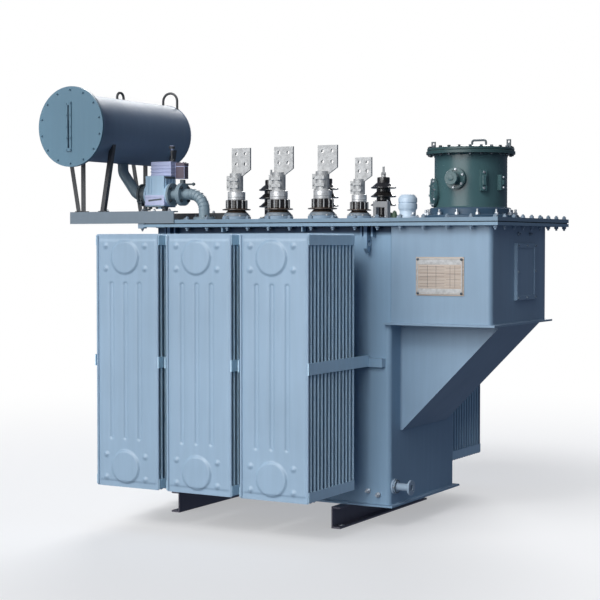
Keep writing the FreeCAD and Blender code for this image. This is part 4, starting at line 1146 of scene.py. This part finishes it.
# ---------------------------------------------------------------- bushings
def lv_details():
    """Glazed bells with ribbed rings, clamped flanges and bolted terminal clamps."""
    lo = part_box("lv_bushings")[0]
    x0, row_y, cover = lo.x + 0.098, lo.y + 0.098, lo.z
    rings = [(0, 0.076), (0.062, 0.076)]
    for i in range(5):
        z = 0.080 + i * 0.0117
        rings += [(0.066, z), (0.072, z + 0.002), (0.072, z + 0.007), (0.066, z + 0.009)]
    rings += [(0.062, 0.138), (0, 0.138)]
    glaze, bases, covers, clamps, silver, collars = [bmesh.new() for _ in range(6)]
    for x, k in ((x0, 1.0), (x0 + 0.336, 1.0), (x0 + 0.672, 1.0), (x0 + 0.946, 0.82)):
        def turned(bm, points, z=cover, sides=56):
            """Solid of revolution on this bushing's axis, at its scale."""
            lathe(bm, [(r * k, h * k) for r, h in points], at(x, row_y, z), sides)
        turned(bases, mm("0 0, 96 0, 98 2, 98 20, 94 24, 0 24"))
        turned(glaze, mm("0 24, 82 24, 84 30, 79 44, 68 56, 60 66, 94 66, 98 70, 96 74, 74 78, 64 80, "
                         "0 80"))
        turned(covers, mm("0 22, 86 22, 88 28, 85 38, 79 46, 74 49, 0 49"))
        turned(clamps, rings)
        for u, v in circle(x, row_y, 0.089 * k, 6, 0.3):
            bolt(silver, u, v, cover + 0.024 * k, Z, M8, 0.6)
        for u, v in circle(x, row_y, 0.0715 * k, 12, 0.1):
            disc(silver, at(u, v, cover + 0.079 * k), 0.0042 * k, 0.056 * k, 0.0005, 10)
        top = cover + 0.138 * k
        turned(collars, mm("0 0, 60 0, 60.5 4, 60.5 12, 58 14, 58 18, 60.5 20, 60.5 50, 56 55, 46 58"),
               top, 40)
        clamp = top + 0.054 * k
        for dz in (0.036, 0.084):
            for side in (FRONT, REAR):
                bolt(silver, x - 0.060 * k, row_y + side * 0.016, clamp + dz * k, Y * side, M8, 0.8)
            slab(silver, x - 0.036 * k, x + 0.040 * k, row_y - 0.050 * k, row_y - 0.043 * k,
                 clamp + (dz - 0.012) * k, clamp + (dz + 0.012) * k)
    piece("lv_flanges", bases, "fitting")
    piece("lv_porcelain", glaze, "brown", ["lv_bushings"])
    piece("lv_rings", clamps, "black")
    piece("lv_covers", covers, "turret")
    piece("lv_clamps", silver, "tin")
    piece("lv_collars", collars, "bright")


def hv_details():
    """Three ribbed sheds on each bushing, with cap, nuts and threaded stud."""
    lo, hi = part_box("hv_bushings")
    row_y, cover = (lo.y + hi.y) / 2, lo.z
    core, shed = 0.047, 0.087
    sheds = [(0, 0.018), (0.060, 0.018), (0.058, 0.026), (core, 0.034)]
    for k in range(3):
        z = 0.100 + 0.059 * k
        sheds += [(core, z - 0.008), (core + 0.008, z - 0.003), (shed - 0.010, z - 0.005),
                  (shed - 0.002, z - 0.003), (shed, z), (shed - 0.002, z + 0.004),
                  (shed - 0.012, z + 0.009), (core + 0.014, z + 0.022), (core, z + 0.034)]
    sheds += [(core, 0.242), (0, 0.242)]
    thread = [(0, 0.300)]
    for k in range(10):
        z = 0.322 + k * 0.0040
        thread += [(0.0072, z), (0.0080, z + 0.002)]
    thread += [(0.0066, 0.364), (0, 0.364)]
    glaze, studs, bases = [bmesh.new() for _ in range(3)]
    for i in range(3):
        x = lo.x + 0.092 + 0.445 * i
        spot = at(x, row_y, cover)
        lathe(bases, mm("0 0, 90 0, 92 2, 92 14, 88 18, 0 18"), spot, 48)
        lathe(glaze, sheds, spot, 56)
        lathe(glaze, mm("0 242, 41 242, 43 244, 43 284, 40 290, 20 290, 0 290"), spot, 40)
        hex_nut(studs, at(x, row_y, cover + 0.290), 0.0090, 0.015, 0.2)
        hex_nut(studs, at(x, row_y, cover + 0.308), 0.0090, 0.014, 0.6)
        lathe(studs, thread, spot, 16)
        for u, v in circle(x, row_y, 0.078, 6, 0.2):
            bolt(studs, u, v, cover + 0.018, Z, M8, 0.6)
    piece("hv_flanges", bases, "fitting")
    piece("hv_porcelain", glaze, "black", ["hv_bushings"])
    piece("hv_studs", studs, "tin")


lv_details()
hv_details()


# ---------------------------------------------------------------- other cover fittings
def fitting_details():
    """Relief valve, and the nuts and caps of the guard bracket and the pockets."""
    lo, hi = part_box("relief_valve")
    x, y, z = (lo.x + hi.x) / 2, (lo.y + hi.y) / 2, lo.z
    bm = bmesh.new()
    lathe(bm, mm("0 0, 72 0, 74 2, 74 13, 71 16, 55 16, 53 20, 53 54, 56 58, 56 62, 60 64, 62 68, "
                 "62 98, 58 100, 58 106, 62 108, 62 132, 59 138, 50 150, 43 158, 20 160, 0 160"),
          at(x, y, z), 64)
    piece("relief_body", bm, "relief", ["relief_valve"])
    bm = bmesh.new()
    for u, v in circle(x, y, 0.064, 6, 0.3):
        bolt(bm, u, v, z + 0.016, Z, M8, 0.6)
    slab(bm, x + 0.036, x + 0.058, y - 0.030, y - 0.010, z + 0.026, z + 0.044, 0.003)
    piece("relief_bolts", bm, "bolt")

    lo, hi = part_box("guard_bracket")
    gx, gy, _ = middle(lo, hi)
    bm = bmesh.new()
    for x in (lo.x + 0.011, hi.x - 0.011):
        hex_nut(bm, at(x, lo.y - 0.001, lo.z + 0.020, -Y), M8, 0.006, 0.2)
        hex_nut(bm, at(x, gy, hi.z), M8, 0.007, 0.4)
    piece("guard_bolts", bm, "bolt")

    cone = mm("0 0, 20 0, 18 12, 10 44, 7 50, 0 52")
    spot = at(gx - 0.006, gy + 0.150, lo.z)
    lo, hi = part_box("thermometer_pocket")
    x, y, _ = middle(lo, hi)
    bm = bmesh.new()
    hex_nut(bm, at(x, y, lo.z), 0.016, 0.008, 0.1)
    disc(bm, at(x, y, hi.z), 0.007, 0.006, 0.001, 16)
    lathe(bm, cone, spot, 24)
    piece("pocket_cap", bm, "cone")


fitting_details()


# ---------------------------------------------------------------- floor, light and camera
def lay_floor():
    """Pale floor that fades to white with the distance."""
    bm = bmesh.new()
    bmesh.ops.create_grid(bm, x_segments=2, y_segments=2, size=40.0)
    mesh = bpy.data.meshes.new("floor")
    bm.to_mesh(mesh)
    bm.free()
    floor = bpy.data.objects.new("floor", mesh)
    bpy.context.scene.collection.objects.link(floor)
    n = Nodes("floor")
    n.fix("Base Color", (0.86, 0.87, 0.88, 1))
    n.fix("Roughness", 0.9)
    far = n.add("ShaderNodeVectorMath", operation="LENGTH")
    n.link(n.place, far, 0)
    fade = n.remap((far, "Value"), interpolation_type="SMOOTHSTEP",
                   From_Min=2.0, From_Max=9.0, To_Min=0.40)
    blend = n.add("ShaderNodeMixShader")
    n.link(fade, blend, "Fac")
    n.link((n.shader, "BSDF"), blend, 1)
    n.link((n.add("ShaderNodeEmission"), "Emission"), blend, 2)
    n.link((blend, "Shader"), n.out, "Surface")
    mesh.materials.append(n.material)
    floor.visible_diffuse = False
    floor.visible_glossy = False


def surroundings():
    """White behind the part, and a dim bluish sky that lights it."""
    world = bpy.data.worlds.new("studio")
    world.use_nodes = True
    tree = world.node_tree
    dim, bright = tree.nodes["Background"], tree.nodes.new("ShaderNodeBackground")
    for node, colour, strength in ((dim, (0.68, 0.81, 1.12, 1), 0.14), (bright, (1, 1, 1, 1), 1.0)):
        node.inputs["Color"].default_value = colour
        node.inputs["Strength"].default_value = strength
    path = tree.nodes.new("ShaderNodeLightPath")
    blend = tree.nodes.new("ShaderNodeMixShader")
    tree.links.new(path.outputs["Is Camera Ray"], blend.inputs["Fac"])
    tree.links.new(dim.outputs["Background"], blend.inputs[1])
    tree.links.new(bright.outputs["Background"], blend.inputs[2])
    tree.links.new(blend.outputs["Shader"], tree.nodes["World Output"].inputs["Surface"])
    bpy.context.scene.world = world


def sun(name, azimuth, elevation, energy, spread, colour):
    """Sun at an azimuth from -Y towards +X; angles in degrees."""
    light = bpy.data.lights.new(name, "SUN")
    light.energy = energy
    light.angle = radians(spread)
    light.color = colour
    lamp = bpy.data.objects.new(name, light)
    a, e = radians(azimuth), radians(elevation)
    toward = Vector((sin(a) * cos(e), -cos(a) * cos(e), sin(e)))
    lamp.rotation_euler = (-toward).to_track_quat("-Z", "Y").to_euler()
    bpy.context.scene.collection.objects.link(lamp)


def camera():
    data = bpy.data.cameras.new("camera")
    data.lens = 92.0
    data.sensor_width = 36.0
    data.clip_end = 100
    view = bpy.data.objects.new("camera", data)
    bpy.context.scene.collection.objects.link(view)
    turn, down = radians(29.5), radians(2.1)
    view.location = (5.189, -9.204, 1.812)
    ahead = Vector((-sin(turn) * cos(down), cos(turn) * cos(down), -sin(down)))
    view.rotation_euler = ahead.to_track_quat("-Z", "Y").to_euler()
    bpy.context.scene.camera = view


bpy.context.scene.view_settings.view_transform = "Standard"
lay_floor()
surroundings()
sun("key", -10, 26, 3.0, 64, (1.0, 0.99, 0.98))
sun("glint", 0, 38, 0.5, 12, (1.0, 1.0, 1.0))
sun("back", 200, 32, 1.8, 30, (1.0, 0.99, 0.98))
camera()
